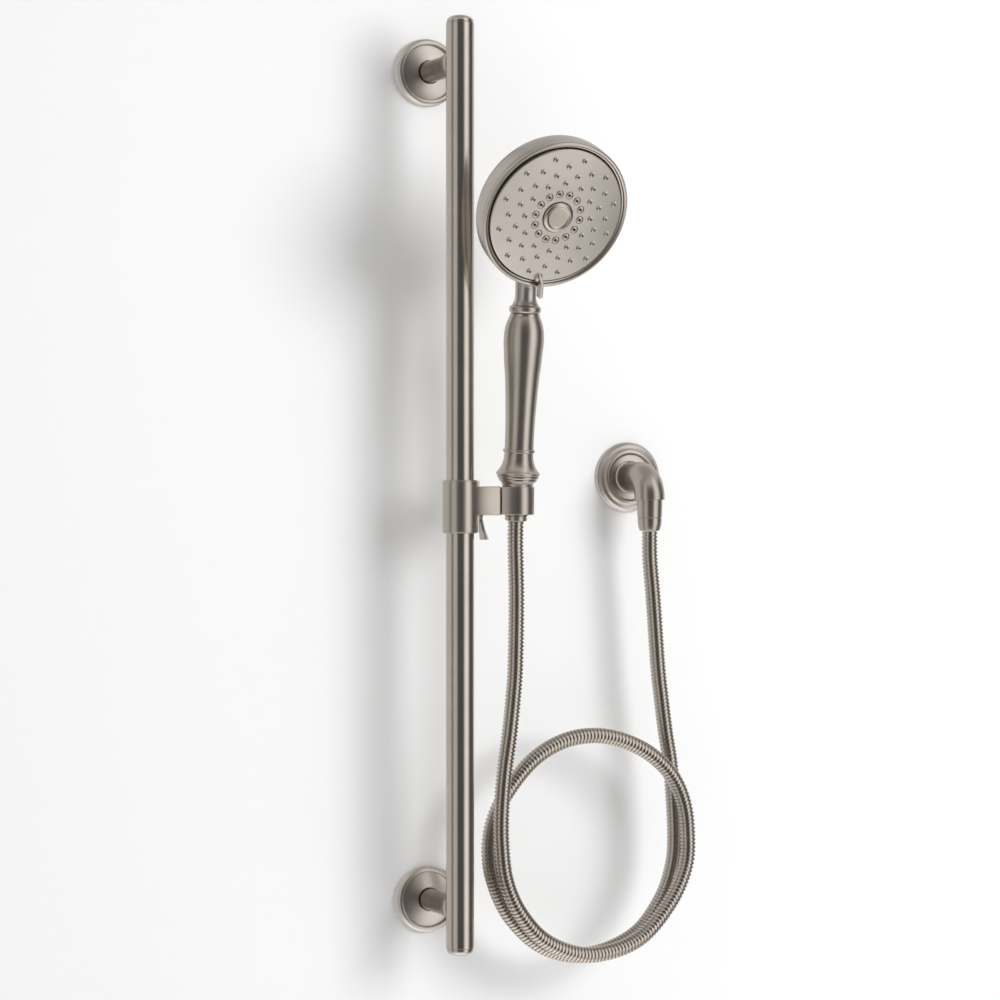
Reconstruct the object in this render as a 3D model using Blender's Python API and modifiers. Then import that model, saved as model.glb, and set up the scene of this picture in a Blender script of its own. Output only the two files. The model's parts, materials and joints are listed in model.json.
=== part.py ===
"""Wall-mounted shower kit: slide bar, slider with holder, handshower, hose and supply elbow.

Lengths are in millimetres and are scaled to metres when a mesh is made. +X runs along the wall,
+Y points into the wall, +Z is up. The origin is the centre of the lower post's wall face.
"""
import math

import bmesh
import bpy
from mathutils import Euler, Matrix, Vector

MM = 0.001
GAP = 0.3
MERGE = 0.00001
FULL_TURN = 2 * math.pi

# Slide bar and its posts
BAR_Y = -78.0
BAR_R = 12.7
BAR_BORE_R = 11.4
BAR_BOTTOM = -35.0
BAR_TOP = 797.0
POST_SPACING = 762.0
POST_HEIGHTS = {"lower": 0.0, "upper": POST_SPACING}
FLANGE_R = 31.3
PLATE_R = 24.0
PLATE_THICKNESS = 3.0
WALL_SCREW_OFFSET = 16.0
WALL_SCREW_DEPTH = 25.0
SPIGOT_R = 4.0

# Slider
COLLAR_R = 16.0
COLLAR_BOTTOM = 337.8
COLLAR_TOP = 385.8
ARM_HEIGHT = 26.0
ARM_HALF_DEPTH = 13.0
ARM_Z = 367.0
ARM_END_X = 34.2
PIVOT_R = 4.0
LEVER_PIN_X = 22.5
LEVER_PIN_Z = 360.5
LEVER_PIN_R = 1.5
LEVER_HALF_WIDTH = 8.5

# Holder and handset. The handset's axis passes through the middle of the holder and leans forward.
CRADLE_START_X = 35.4
CRADLE_X = 56.2
CRADLE_R = 15.9
CRADLE_HALF_HEIGHT = 12.7
HANDSET_LEAN = 6.0

# Spray head. Its face looks outward and down, and its own +Z is the way the water leaves.
FACE_CENTRE = (56.4, -164.0, 617.0)
FACE_PITCH = 118.8
FACE_YAW = 2.0
HEAD_R = 69.5
FACE_R = 63.9
HUB_R = 14.4
NECK_RADII = (12.2, 10.6, 9.7, 9.7, 11.0, 12.6, 13.6, 13.8)
SPRAY_RINGS = (32.5, 40.4, 48.1, 55.5)
SPRAYS_PER_RING = 12
SPRAY_HOLE_R = 1.5
SPRAY_NUB_R = 1.1
CENTRE_SPRAYS = 14
CENTRE_RING_R = 22.2
CENTRE_RING_START = 21.5
CENTRE_SPRAY_R = 3.2
PORTS = 6

# Supply elbow
ELBOW_X = 207.8
ELBOW_Z = 389.5
ELBOW_Y = -47.3
ELBOW_R = 14.1
ELBOW_BORE_R = 8.6
ELBOW_BEND_R = 20.0
ESCUTCHEON_R = 33.2

# Hose: outer diameter 13.8 mm, in metres along its route from the handset to the elbow
HOSE_R = 0.0069
HOSE_TUBE_POINTS = 48
HOSE_ROUTE = [
    (0.0562, -0.0760, 0.3487), (0.0566, -0.0745, 0.3260), (0.0578, -0.0740, 0.2770),
    (0.0567, -0.0740, 0.2170), (0.0540, -0.0750, 0.1870), (0.0500, -0.0758, 0.1550),
    (0.0453, -0.0760, 0.1240), (0.0422, -0.0760, 0.0890), (0.0420, -0.0760, 0.0570),
    (0.0465, -0.0765, 0.0220), (0.0610, -0.0770, -0.0090), (0.0880, -0.0770, -0.0360),
    (0.1300, -0.0770, -0.0500), (0.1790, -0.0762, -0.0400), (0.2130, -0.0750, -0.0090),
    (0.2320, -0.0732, 0.0260), (0.2350, -0.0712, 0.0600), (0.2312, -0.0695, 0.0880),
    (0.2195, -0.0675, 0.1120), (0.1980, -0.0652, 0.1320), (0.1710, -0.0630, 0.1450),
    (0.1430, -0.0610, 0.1500), (0.1130, -0.0595, 0.1460), (0.0840, -0.0583, 0.1310),
    (0.0600, -0.0575, 0.1060), (0.0445, -0.0570, 0.0800), (0.0385, -0.0565, 0.0520),
    (0.0430, -0.0562, 0.0200), (0.0610, -0.0560, -0.0150), (0.0950, -0.0560, -0.0440),
    (0.1400, -0.0560, -0.0530), (0.1870, -0.0550, -0.0380), (0.2150, -0.0540, -0.0080),
    (0.2285, -0.0530, 0.0240), (0.2318, -0.0518, 0.0560), (0.2290, -0.0500, 0.1130),
    (0.2235, -0.0490, 0.1500), (0.2195, -0.0485, 0.1810), (0.2160, -0.0480, 0.2120),
    (0.2115, -0.0475, 0.2740), (0.2081, -0.0473, 0.3120), (0.2078, -0.0473, 0.3384),
]

# Sides of round pieces
FINE = 24
MEDIUM = 18
COARSE = 12
SMALL = 8
SPRAY_SIDES = 4
PEG_TURN = 11.0

COLOURS = {
    "nickel": ((0.62, 0.58, 0.53), 0.28, 1.0),
    "nickel_satin": ((0.58, 0.55, 0.50), 0.38, 1.0),
    "brass": ((0.72, 0.52, 0.22), 0.35, 1.0),
    "steel": ((0.60, 0.60, 0.61), 0.30, 1.0),
    "rubber_grey": ((0.16, 0.155, 0.15), 0.65, 0.0),
    "rubber_black": ((0.03, 0.03, 0.03), 0.60, 0.0),
    "plastic_dark": ((0.07, 0.07, 0.075), 0.45, 0.0),
    "plastic_white": ((0.80, 0.80, 0.78), 0.40, 0.0),
}


def clear_scene():
    for item in list(bpy.data.objects):
        bpy.data.objects.remove(item, do_unlink=True)


def new_collection(name):
    group = bpy.data.collections.new(name)
    bpy.context.scene.collection.children.link(group)
    return group


clear_scene()
PARTS = new_collection("handshower_kit")
CUTTERS = new_collection("cutters")


def frame_at(x, y, z, rotation=(0, 0, 0)):
    """A frame at a place in mm, turned by Euler angles in degrees."""
    turn = Euler([math.radians(angle) for angle in rotation], "XYZ").to_matrix().to_4x4()
    return Matrix.Translation(Vector((x, y, z)) * MM) @ turn


def wall_frame(x, z):
    """A frame on the wall face whose +Z points out into the room."""
    return frame_at(x, 0, z, (90, 0, 0))


BAR_FRAME = frame_at(0, BAR_Y, 0)
HANDSET_FRAME = frame_at(CRADLE_X, BAR_Y, ARM_Z, (HANDSET_LEAN, 0, 0))
FACE_FRAME = frame_at(*FACE_CENTRE, (FACE_PITCH, 0, FACE_YAW))
# Turned pieces of the head are stepped half a side round, so that sprays fall between their edges
HEAD_FRAME = FACE_FRAME @ Matrix.Rotation(math.pi / 24, 4, "Z")
ELBOW_FRAME = wall_frame(ELBOW_X, ELBOW_Z)
OUTLET_FRAME = frame_at(ELBOW_X, ELBOW_Y, 0)
ARM_FRAME = frame_at(0, BAR_Y, ARM_Z, (0, 90, 0))


def finish(name, colour_name):
    """A Principled material for one node."""
    colour, roughness, metallic = COLOURS[colour_name]
    material = bpy.data.materials.new(name)
    material.use_nodes = True
    shader = material.node_tree.nodes["Principled BSDF"]
    shader.inputs["Base Color"].default_value = (*colour, 1)
    shader.inputs["Roughness"].default_value = roughness
    shader.inputs["Metallic"].default_value = metallic
    return material


def add(name, data, frame, colour=None):
    """Link an object: a part when it has a colour, a hidden cutter when it has none."""
    item = bpy.data.objects.new(name, data)
    item.matrix_world = frame
    if colour is None:
        CUTTERS.objects.link(item)
        item.hide_render = True
        item.display_type = "WIRE"
    else:
        PARTS.objects.link(item)
        data.materials.append(finish(name, colour))
    return item


def mesh_from(builder, name):
    mesh = bpy.data.meshes.new(name)
    cage = bmesh.new()
    builder(cage)
    cage.to_mesh(mesh)
    cage.free()
    return mesh


def turned(name, profile, frame, colour=None, sides=MEDIUM):
    """A solid of revolution about the frame's Z from (radius, height) points in mm.

    The points run down the outer side, top to bottom. An outline that starts on the axis ends on
    it; any other outline is a closed ring and comes back up its inner side.
    """
    def outline(cage):
        points = [cage.verts.new((radius * MM, 0, height * MM)) for radius, height in profile]
        ends = list(zip(points, points[1:]))
        if profile[0][0] > 0:
            ends.append((points[-1], points[0]))
        for start, end in ends:
            cage.edges.new((start, end))

    item = add(name, mesh_from(outline, name), frame, colour)
    screw = item.modifiers.new("turn", "SCREW")
    screw.axis = "Z"
    screw.steps = sides
    screw.render_steps = sides
    screw.use_merge_vertices = True
    screw.merge_threshold = MERGE
    screw.use_smooth_shade = True
    return item


def rod(name, radius, bottom, top, frame, colour=None, sides=COARSE):
    profile = [(0, top), (radius, top), (radius, bottom), (0, bottom)]
    return turned(name, profile, frame, colour, sides)


def ring(name, outer, inner, bottom, top, frame, colour=None, sides=MEDIUM):
    profile = [(inner, top), (outer, top), (outer, bottom), (inner, bottom)]
    return turned(name, profile, frame, colour, sides)


def bead(name, middle, radius, height, frame, colour, sides=MEDIUM, corners=6):
    """A ring of round section, such as an O-ring."""
    angles = [math.pi / 2 - FULL_TURN * step / corners for step in range(corners)]
    profile = [(middle + radius * math.cos(a), height + radius * math.sin(a)) for a in angles]
    return turned(name, profile, frame, colour, sides)


def block(name, low, high, frame=Matrix.Identity(4), colour=None):
    """A box between two corners given in mm."""
    size = (Vector(high) - Vector(low)) * MM
    middle = (Vector(high) + Vector(low)) * MM / 2

    def cube(cage):
        bmesh.ops.create_cube(cage, size=1)
        bmesh.ops.scale(cage, vec=size, verts=cage.verts)
        bmesh.ops.translate(cage, vec=middle, verts=cage.verts)

    return add(name, mesh_from(cube, name), frame, colour)


def curve_to_mesh(name, curve):
    """The curve's solid as a mesh with its caps welded on."""
    guide = bpy.data.objects.new(name + "_guide", curve)
    CUTTERS.objects.link(guide)
    bpy.context.view_layer.update()
    evaluated = guide.evaluated_get(bpy.context.evaluated_depsgraph_get())
    mesh = bpy.data.meshes.new_from_object(evaluated)
    bpy.data.objects.remove(guide, do_unlink=True)
    cage = bmesh.new()
    cage.from_mesh(mesh)
    bmesh.ops.remove_doubles(cage, verts=cage.verts, dist=MERGE)
    bmesh.ops.recalc_face_normals(cage, faces=cage.faces)
    cage.to_mesh(mesh)
    cage.free()
    mesh.name = name
    return mesh


def tube(name, points, radius, frame, colour=None, resolution=2, widths=None):
    """A round tube along points in metres, made a mesh with welded ends so that it can be cut."""
    curve = bpy.data.curves.new(name, "CURVE")
    curve.dimensions = "3D"
    curve.bevel_depth = radius
    curve.bevel_resolution = resolution
    curve.use_fill_caps = True
    spline = curve.splines.new("POLY")
    spline.points.add(len(points) - 1)
    for index, place in enumerate(points):
        spline.points[index].co = (*place, 1)
        spline.points[index].radius = 1 if widths is None else widths[index]
    return add(name, curve_to_mesh(name, curve), frame, colour)


def sheet(name, outlines, half_thickness, frame, colour=None):
    """A flat plate from closed outlines in mm; outlines inside the first one are holes."""
    curve = bpy.data.curves.new(name, "CURVE")
    curve.dimensions = "2D"
    curve.fill_mode = "BOTH"
    curve.extrude = half_thickness * MM
    for outline in outlines:
        spline = curve.splines.new("POLY")
        spline.points.add(len(outline) - 1)
        spline.use_cyclic_u = True
        for index, (x, y) in enumerate(outline):
            spline.points[index].co = (x * MM, y * MM, 0, 1)
    return add(name, curve_to_mesh(name, curve), frame, colour)


def change(item, other, operation):
    """Cut another solid from this one, or join it on."""
    other.hide_render = True
    other.display_type = "WIRE"
    step = item.modifiers.new(operation.lower(), "BOOLEAN")
    step.operation = operation
    step.solver = "EXACT"
    step.object = other


def cut(item, *others):
    for other in others:
        change(item, other, "DIFFERENCE")


def join(item, *others):
    for other in others:
        change(item, other, "UNION")


def arc(centre, radius, start, end, steps):
    """Points on an arc in a plane, with angles in degrees."""
    angles = [math.radians(start + (end - start) * step / steps) for step in range(steps + 1)]
    return [(centre[0] + radius * math.cos(a), centre[1] + radius * math.sin(a)) for a in angles]


def smooth_route(points, count):
    """Evenly spaced points on a Catmull-Rom curve through the route's own points."""
    nodes = [Vector(point) for point in points]
    ends = [2 * nodes[0] - nodes[1]] + nodes + [2 * nodes[-1] - nodes[-2]]
    fine = []
    for index in range(1, len(ends) - 2):
        before, start, end, after = ends[index - 1:index + 3]
        for step in range(16):
            t = step / 16
            fine.append(0.5 * (
                2 * start + (end - before) * t
                + (2 * before - 5 * start + 4 * end - after) * t ** 2
                + (3 * start - before - 3 * end + after) * t ** 3))
    fine.append(nodes[-1])
    travelled = [0.0]
    for start, end in zip(fine, fine[1:]):
        travelled.append(travelled[-1] + (end - start).length)
    result = []
    index = 0
    for step in range(count):
        target = travelled[-1] * step / (count - 1)
        while index < len(fine) - 2 and travelled[index + 1] < target:
            index += 1
        share = (target - travelled[index]) / (travelled[index + 1] - travelled[index])
        result.append(fine[index].lerp(fine[index + 1], min(share, 1)))
    return result


# ---------------------------------------------------------------- wall posts and bar

def make_bar():
    bar = ring("bar_tube", BAR_R, BAR_BORE_R, BAR_BOTTOM, BAR_TOP, BAR_FRAME, "nickel", FINE)
    nodes = [bar]
    for side, height in POST_HEIGHTS.items():
        out = wall_frame(0, height)
        hole = rod(f"cut_bar_{side}", SPIGOT_R + GAP, 55, 74, out)
        cut(bar, hole)
        insert = rod(f"bar_insert_{side}", BAR_BORE_R - GAP, height - 14, height + 14,
                     BAR_FRAME, "plastic_white")
        cut(insert, rod(f"cut_insert_{side}", SPIGOT_R + GAP, 55, 82, out))
        nodes.append(insert)
    for side, end, direction in (("lower", BAR_BOTTOM, 180), ("upper", BAR_TOP, 0)):
        nodes.append(make_end_cap(side, end, direction))
    return nodes


def make_end_cap(side, end, direction):
    """A domed cap with a narrow step and a hollow plug that goes down the bar."""
    plug_r = BAR_BORE_R - GAP
    dome = [(12.1, 1.9), (11.6, 3.4), (9.6, 5.3), (6.4, 6.6), (3.0, 7.2)]
    profile = [(0, 7.3)] + dome[::-1] + [
        (12.1, 0.3), (plug_r, 0.3), (plug_r, -9), (9.2, -9), (9.2, -1), (0, -1)]
    return turned(f"bar_cap_{side}", profile, frame_at(0, BAR_Y, end, (direction, 0, 0)), "nickel")


def make_post(side, height):
    """One wall post: plate, cover, stem, two wall screws and a grub screw."""
    out = wall_frame(0, height)
    stem_profile = [
        (0, 73.0), (12.2, 73.0), (11.8, 65.0), (10.4, 52.0), (10.0, 38.0), (10.0, 5.2), (7.6, 5.2),
        (7.6, 30.0), (0, 30.0)]
    stem = turned(f"post_stem_{side}", stem_profile, out, "nickel")
    nodes = [stem]
    cut(stem, rod(f"cut_saddle_{side}", BAR_R + GAP, height - 20, height + 20, BAR_FRAME, sides=FINE))
    join(stem, rod(f"join_spigot_{side}", SPIGOT_R, 58, 80, out))
    grub_frame = frame_at(0, -14, height, (180, 0, 0))
    cut(stem, rod(f"cut_grub_{side}", 1.9, 6.6, 12, grub_frame, sides=SMALL))
    nodes.append(rod(f"grub_screw_{side}", 1.6, 7.4, 9.8, grub_frame, "steel", SMALL))

    plate_profile = [
        (0, 26), (7.1, 26), (7.1, PLATE_THICKNESS), (PLATE_R, PLATE_THICKNESS), (PLATE_R, 0), (0, 0)]
    plate = turned(f"wall_plate_{side}", plate_profile, out, "steel")
    for sign, number in ((-1, 1), (1, 2)):
        screw_frame = wall_frame(sign * WALL_SCREW_OFFSET, height)
        cut(plate, rod(f"cut_plate_{side}_{number}", 2.4, -2, 6, screw_frame, sides=SMALL))
        screw_profile = [
            (0, 4.5), (3.6, 4.3), (3.6, 3.3), (2.0, 3.3), (2.0, 6 - WALL_SCREW_DEPTH),
            (0, -WALL_SCREW_DEPTH)]
        nodes.append(turned(f"wall_screw_{side}_{number}", screw_profile, screw_frame, "steel", SMALL))
    nodes.append(plate)

    cover_profile = [
        (10.6, 7.0), (24.6, 6.4), (25.8, 7.4), (27.8, 7.8), (30.6, 6.0), (FLANGE_R, 0.3),
        (29.4, 0.3), (28.6, 4.8), (10.6, 4.8)]
    nodes.append(turned(f"flange_cover_{side}", cover_profile, out, "nickel_satin", FINE))
    return nodes


# ---------------------------------------------------------------- supply elbow

def make_elbow():
    bend = [(ELBOW_Y + ELBOW_BEND_R, 0), *arc_points()]
    places = [(0.0, 0.0, 0.0)] + [Vector((0, y, z)) * MM for y, z in bend]
    places = [tuple(place) for place in places]
    start = frame_at(ELBOW_X, 0, ELBOW_Z)
    body = tube("elbow_body", places, ELBOW_R * MM, start, "nickel", 4)
    spigot = rod("join_spigot", 10.0, 356, ELBOW_Z - 18, OUTLET_FRAME, sides=MEDIUM)
    join(body, spigot)
    bore_places = [(0, 0.004, 0)] + places[1:] + [(0, ELBOW_Y * MM, -0.040)]
    cut(body, tube("cut_elbow_bore", bore_places, ELBOW_BORE_R * MM, start, None, 3))

    cover_profile = [
        (15.3, 6.2), (21.0, 6.4), (24.2, 9.2), (27.8, 6.2), (30.4, 6.6), (ESCUTCHEON_R, 3.0),
        (ESCUTCHEON_R, 0.3), (31.2, 0.3), (29.0, 4.2), (15.3, 4.4)]
    cover = turned("elbow_escutcheon", cover_profile, ELBOW_FRAME, "nickel_satin", FINE)

    valve_profile = [
        (2.5, 368), (6.5, 368), (6.5, 366), (8.0, 366), (8.0, 357), (2.5, 357)]
    valve = turned("elbow_check_valve", valve_profile, OUTLET_FRAME, "plastic_dark", COARSE)
    seal = ring("elbow_washer", 9.4, 4.6, 353.4, 355.6, OUTLET_FRAME, "rubber_black")

    nut_profile = [
        (10.5, 369.0), (12.0, 369.0), (11.7, 358.0), (11.4, 351.4), (11.0, 351.0), (11.2, 350.6),
        (10.9, 345.0), (10.2, 341.6), (8.4, 338.8), (7.3, 338.8), (7.3, 348.0), (10.5, 349.5)]
    nut = turned("elbow_hose_nut", nut_profile, OUTLET_FRAME, "nickel")
    tail_profile = [
        (4.0, 353.1), (9.6, 353.1), (9.6, 350.2), (6.9, 349.0), (6.9, 338.9), (4.0, 338.9)]
    tail = turned("hose_tail_supply", tail_profile, OUTLET_FRAME, "brass", COARSE)
    return [body, cover, valve, seal, nut, tail]


def arc_points():
    """The elbow's quarter bend in the (Y, Z) plane and its short leg, from the wall tube's end."""
    centre = (ELBOW_Y + ELBOW_BEND_R, -ELBOW_BEND_R)
    bend = arc(centre, ELBOW_BEND_R, 90, 180, 6)
    return bend[1:] + [(ELBOW_Y, -ELBOW_BEND_R - 0.2)]


# ---------------------------------------------------------------- hose

def make_hose():
    places = smooth_route(HOSE_ROUTE, HOSE_TUBE_POINTS)
    return tube("hose", [tuple(place) for place in places], HOSE_R, Matrix.Identity(4), "nickel", 2)


# ---------------------------------------------------------------- slider

def make_sleeve():
    sleeve = ring("slider_bushing", 14.2, BAR_R + 0.25, COLLAR_BOTTOM + 1.2, COLLAR_TOP - 1.2,
                  BAR_FRAME, "plastic_white")
    return [sleeve]


def make_slider():
    arm_low = ARM_Z - ARM_HEIGHT / 2
    arm_high = ARM_Z + ARM_HEIGHT / 2
    collar_profile = [
        (14.5, COLLAR_TOP), (15.4, COLLAR_TOP), (15.4, COLLAR_TOP - 0.8), (COLLAR_R, COLLAR_TOP - 1.0),
        (COLLAR_R, COLLAR_BOTTOM + 1.0), (15.4, COLLAR_BOTTOM + 0.8), (15.4, COLLAR_BOTTOM),
        (14.5, COLLAR_BOTTOM)]
    collar = turned("slider_collar", collar_profile, BAR_FRAME, "nickel", FINE)
    arm = block("join_arm", (8, BAR_Y - ARM_HALF_DEPTH, arm_low),
                (ARM_END_X, BAR_Y + ARM_HALF_DEPTH, arm_high))
    cut(arm, rod("cut_arm_bar", 14.5, 300, 420, BAR_FRAME, sides=FINE))
    join(collar, arm)
    slot = block("cut_lever_slot", (18.0, BAR_Y - LEVER_HALF_WIDTH - 0.6, 340),
                 (29.5, BAR_Y + LEVER_HALF_WIDTH + 0.6, 365.2))
    cut(collar, slot)
    pin_frame = frame_at(LEVER_PIN_X, BAR_Y, LEVER_PIN_Z, (90, 0, 0))
    cut(collar, rod("cut_pin", LEVER_PIN_R + 0.3, -14, 14, pin_frame, sides=SMALL))
    cut(collar, rod("cut_pivot", PIVOT_R + 0.3, 25.5, 40, ARM_FRAME))
    shoe_frame = frame_at(0, BAR_Y, LEVER_PIN_Z, (0, 90, 0))
    cut(collar, rod("cut_shoe", 3.3, 12, 19, shoe_frame))
    shoe = rod("brake_shoe", 2.9, 14.6, 18.9, shoe_frame, "rubber_black", SMALL)
    pin = rod("lever_pin", LEVER_PIN_R, -12.7, 12.7, pin_frame, "steel", SMALL)
    washer = ring("pivot_washer", 10.0, PIVOT_R + 0.4, ARM_END_X + GAP, CRADLE_START_X - GAP,
                  ARM_FRAME, "rubber_black")
    return [collar, shoe, pin, washer]


def make_lever():
    """A bent blade with a round eye for its pin, drawn in the slider's X-Z plane."""
    eye = 3.3
    outline = arc((0, 0), eye, -28, 208, 10)
    outline += [(-1.2, -7.0), (0.2, -14.0), (2.4, -21.0), (4.0, -28.6), (6.6, -28.2), (5.0, -20.4),
                (3.2, -13.0), (2.2, -7.0)]
    hole = arc((0, 0), LEVER_PIN_R + 0.3, 0, 330, 11)
    frame = frame_at(LEVER_PIN_X, BAR_Y, LEVER_PIN_Z, (90, 0, 0))
    return [sheet("lever", [outline, hole], LEVER_HALF_WIDTH, frame, "nickel")]


def make_lever_spring():
    """A short coil between the collar and the lever's blade."""
    turns = 3
    steps = 8
    radius = 1.7
    left = 16.6
    right = 21.3
    height = 349.0
    points = []
    for step in range(turns * steps + 1):
        angle = FULL_TURN * step / steps
        along = left + (right - left) * step / (turns * steps)
        points.append(Vector((along, BAR_Y + radius * math.cos(angle),
                              height + radius * math.sin(angle))) * MM)
    return [tube("lever_spring", [tuple(p) for p in points], 0.0003, Matrix.Identity(4), "steel", 0)]


# ---------------------------------------------------------------- holder

def make_cradle():
    low = ARM_Z - CRADLE_HALF_HEIGHT
    high = ARM_Z + CRADLE_HALF_HEIGHT
    middle = frame_at(CRADLE_X, BAR_Y, ARM_Z)
    holder = rod("cradle", CRADLE_R, -CRADLE_HALF_HEIGHT, CRADLE_HALF_HEIGHT, middle, "nickel", FINE)
    boss = block("join_boss", (CRADLE_START_X, BAR_Y - ARM_HALF_DEPTH, low + 0.05),
                 (CRADLE_X - 6, BAR_Y + ARM_HALF_DEPTH, high - 0.05))
    join(holder, boss)
    bore_profile = [(0, 20), (14.25, 20), (14.1, 12.0), (12.7, -12.2), (12.7, -20), (0, -20)]
    cut(holder, turned("cut_cradle_bore", bore_profile, HANDSET_FRAME, None, FINE))
    cut(holder, rod("cut_stud", PIVOT_R + 0.3, 30, 40.2, ARM_FRAME))
    liner_profile = [
        (13.0, 11.6), (13.8, 11.6), (12.4, -12.0), (11.6, -12.0)]
    liner = turned("cradle_liner", liner_profile, HANDSET_FRAME, "plastic_dark", FINE)
    stud = rod("pivot_stud", PIVOT_R, 30.2, 39.9, ARM_FRAME, "steel")
    return [holder, liner, stud]


# ---------------------------------------------------------------- handset

def make_hose_swivel():
    """The hose's end fitting, which the handset can turn on."""
    nut_profile = [
        (4.0, 4.5), (8.8, 4.5), (8.8, -13.4), (10.0, -13.6), (10.0, -17.4), (9.6, -17.9),
        (7.0, -17.9), (7.0, -10.0), (4.0, -9.0)]
    nut = turned("hose_nut_handset", nut_profile, HANDSET_FRAME, "nickel")
    tail = ring("hose_tail_handset", 6.7, 4.0, -17.9, -10.4, HANDSET_FRAME, "brass", COARSE)
    return [nut, tail]


def make_handle():
    outer = [
        (13.0, 170.0), (14.6, 165.8), (17.3, 157.0), (18.2, 146.0), (17.4, 132.0), (15.4, 111.0),
        (14.1, 88.0), (13.1, 55.0), (13.8, 46.4), (13.8, 44.2), (13.2, 39.0), (15.6, 31.6),
        (19.9, 25.2), (18.9, 22.3), (17.6, 18.8), (14.1, 16.2), (13.9, 13.2), (12.7, 11.6),
        (11.3, -12.9)]
    inner = [
        (9.3, -12.9), (9.3, 14.0), (10.9, 22.0), (10.9, 70.0), (15.2, 142.0), (11.0, 166.0),
        (7.6, 167.0), (7.6, 170.0)]
    shell = turned("handle_shell", outer + inner, HANDSET_FRAME, "nickel", MEDIUM)
    collar_profile = [
        (8.0, 177.0), (12.6, 177.0), (14.0, 175.6), (14.4, 173.6), (14.0, 171.8), (12.8, 170.3),
        (8.0, 170.3)]
    collar = turned("neck_collar", collar_profile, HANDSET_FRAME, "nickel")
    waterway = ring("inner_waterway", 5.9, 4.6, 22.6, 190.0, HANDSET_FRAME, "plastic_white", COARSE)
    socket_profile = [
        (6.3, 30.0), (10.3, 30.0), (10.3, 24.0), (8.9, 15.4), (4.0, 15.4), (4.0, 22.2), (6.3, 22.4)]
    socket = turned("waterway_socket", socket_profile, HANDSET_FRAME, "plastic_dark", COARSE)
    restrictor = ring("flow_restrictor", 8.9, 2.0, 10.4, 14.9, HANDSET_FRAME, "plastic_dark", COARSE)
    screen = ring("screen_washer", 8.9, 3.4, 7.8, 10.1, HANDSET_FRAME, "rubber_black", COARSE)
    seal = ring("swivel_seal", 8.9, 4.4, 5.0, 7.4, HANDSET_FRAME, "rubber_black", COARSE)
    return [shell, collar, waterway, socket, restrictor, screen, seal]


def neck_path():
    """Centre line of the neck in the handset's frame: straight up, then forward into the head."""
    return [(0, 0, 177.3), (0, 0, 180.0), (0, 0, 184.0), (0, 0, 196.0), (0, -3.5, 208.0),
            (0, -12.0, 219.0), (0, -24.0, 227.0), (0, -36.0, 233.0)]


def head_spot(radius, angle, height):
    """A frame inside the head, at an angle round its axis in degrees."""
    turn = math.radians(angle)
    place = Vector((radius * math.cos(turn), radius * math.sin(turn), height)) * MM
    return FACE_FRAME @ Matrix.Translation(place)


def make_head():
    cavity = [
        (0, -40.0), (22.0, -39.4), (40.0, -37.0), (54.0, -32.4), (62.6, -27.4), (66.6, -22.0),
        (66.6, -8.0)]
    skirt = [
        (68.9, -8.0), (69.4, -9.0), (69.2, -18.0), (68.0, -24.5), (62.5, -31.2), (50.0, -37.4),
        (30.0, -41.8), (0, -43.2)]
    shell = turned("head_shell", cavity + skirt, HEAD_FRAME, "nickel_satin", FINE)
    neck = [tuple(Vector(place) * MM) for place in neck_path()]
    outside = tube("join_neck", neck, MM, HANDSET_FRAME, None, 3, NECK_RADII)
    middle_of_wall = [(radius + 0.9 if radius else 0, height - 1.3) for radius, height in cavity[::-1]]
    middle_of_wall[0] = (middle_of_wall[0][0], 0)
    cut(outside, turned("cut_neck_end", [(0, 0)] + middle_of_wall, HEAD_FRAME, None, FINE))
    join(shell, outside)
    bore_start = [(0, 0, 0.172)] + neck[2:]
    cut(shell, tube("cut_neck_bore", bore_start, 0.0066, HANDSET_FRAME, None, 2))

    rim_profile = [
        (66.2, -5.2), (66.6, -3.8), (67.6, -3.0), (68.8, -3.3), (HEAD_R, -4.6), (HEAD_R, -7.2),
        (69.0, -7.7), (66.2, -7.7)]
    rim = turned("rim_ring", rim_profile, HEAD_FRAME, "nickel", FINE)
    inner_ring = ring("trim_ring", 65.8, 64.5, -12.0, -4.2, HEAD_FRAME, "nickel", FINE)
    port_profile = [
        (4.0, -17.0), (60.0, -17.0), (66.2, -15.0), (66.2, -18.6), (60.0, -19.6), (4.0, -19.6)]
    port = turned("port_plate", port_profile, HEAD_FRAME, "plastic_dark", FINE)
    for index in range(PORTS):
        cut(port, rod(f"cut_port_{index}", 3.0, -3, 3, head_spot(34.0, 7 + 60 * index, -18.0), sides=8))
    seal = bead("port_seal", 63.0, 1.2, -21.6, HEAD_FRAME, "rubber_black", FINE)
    chamber_profile = [
        (60.4, -22.6), (63.6, -23.2), (61.0, -26.6), (53.0, -31.2), (40.0, -35.4), (24.0, -37.4),
        (20.0, -37.6), (20.0, -35.6), (38.0, -33.4), (51.0, -29.2), (58.0, -25.2)]
    chamber = turned("chamber_liner", chamber_profile, HEAD_FRAME, "plastic_white", FINE)
    detent_spot = head_spot(50.0, 33, -15.0)
    detent_profile = [(0, 1.5), (1.1, 1.0), (1.1, -2.3), (0, -2.3)]
    detent = turned("detent_pin", detent_profile, detent_spot, "steel", 8)
    cut(port, rod("cut_detent", 1.5, -2.7, 6, detent_spot, sides=8))
    return [shell, rim, inner_ring, port, seal, chamber, detent]


def spray_places():
    """Places of the small sprays on the face: rings of twelve, each turned half a step."""
    step = FULL_TURN / SPRAYS_PER_RING
    places = []
    for number, radius in enumerate(SPRAY_RINGS):
        for index in range(SPRAYS_PER_RING):
            angle = step * (index + 0.5 * (number % 2))
            places.append((radius * math.cos(angle), radius * math.sin(angle)))
    return places


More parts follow.
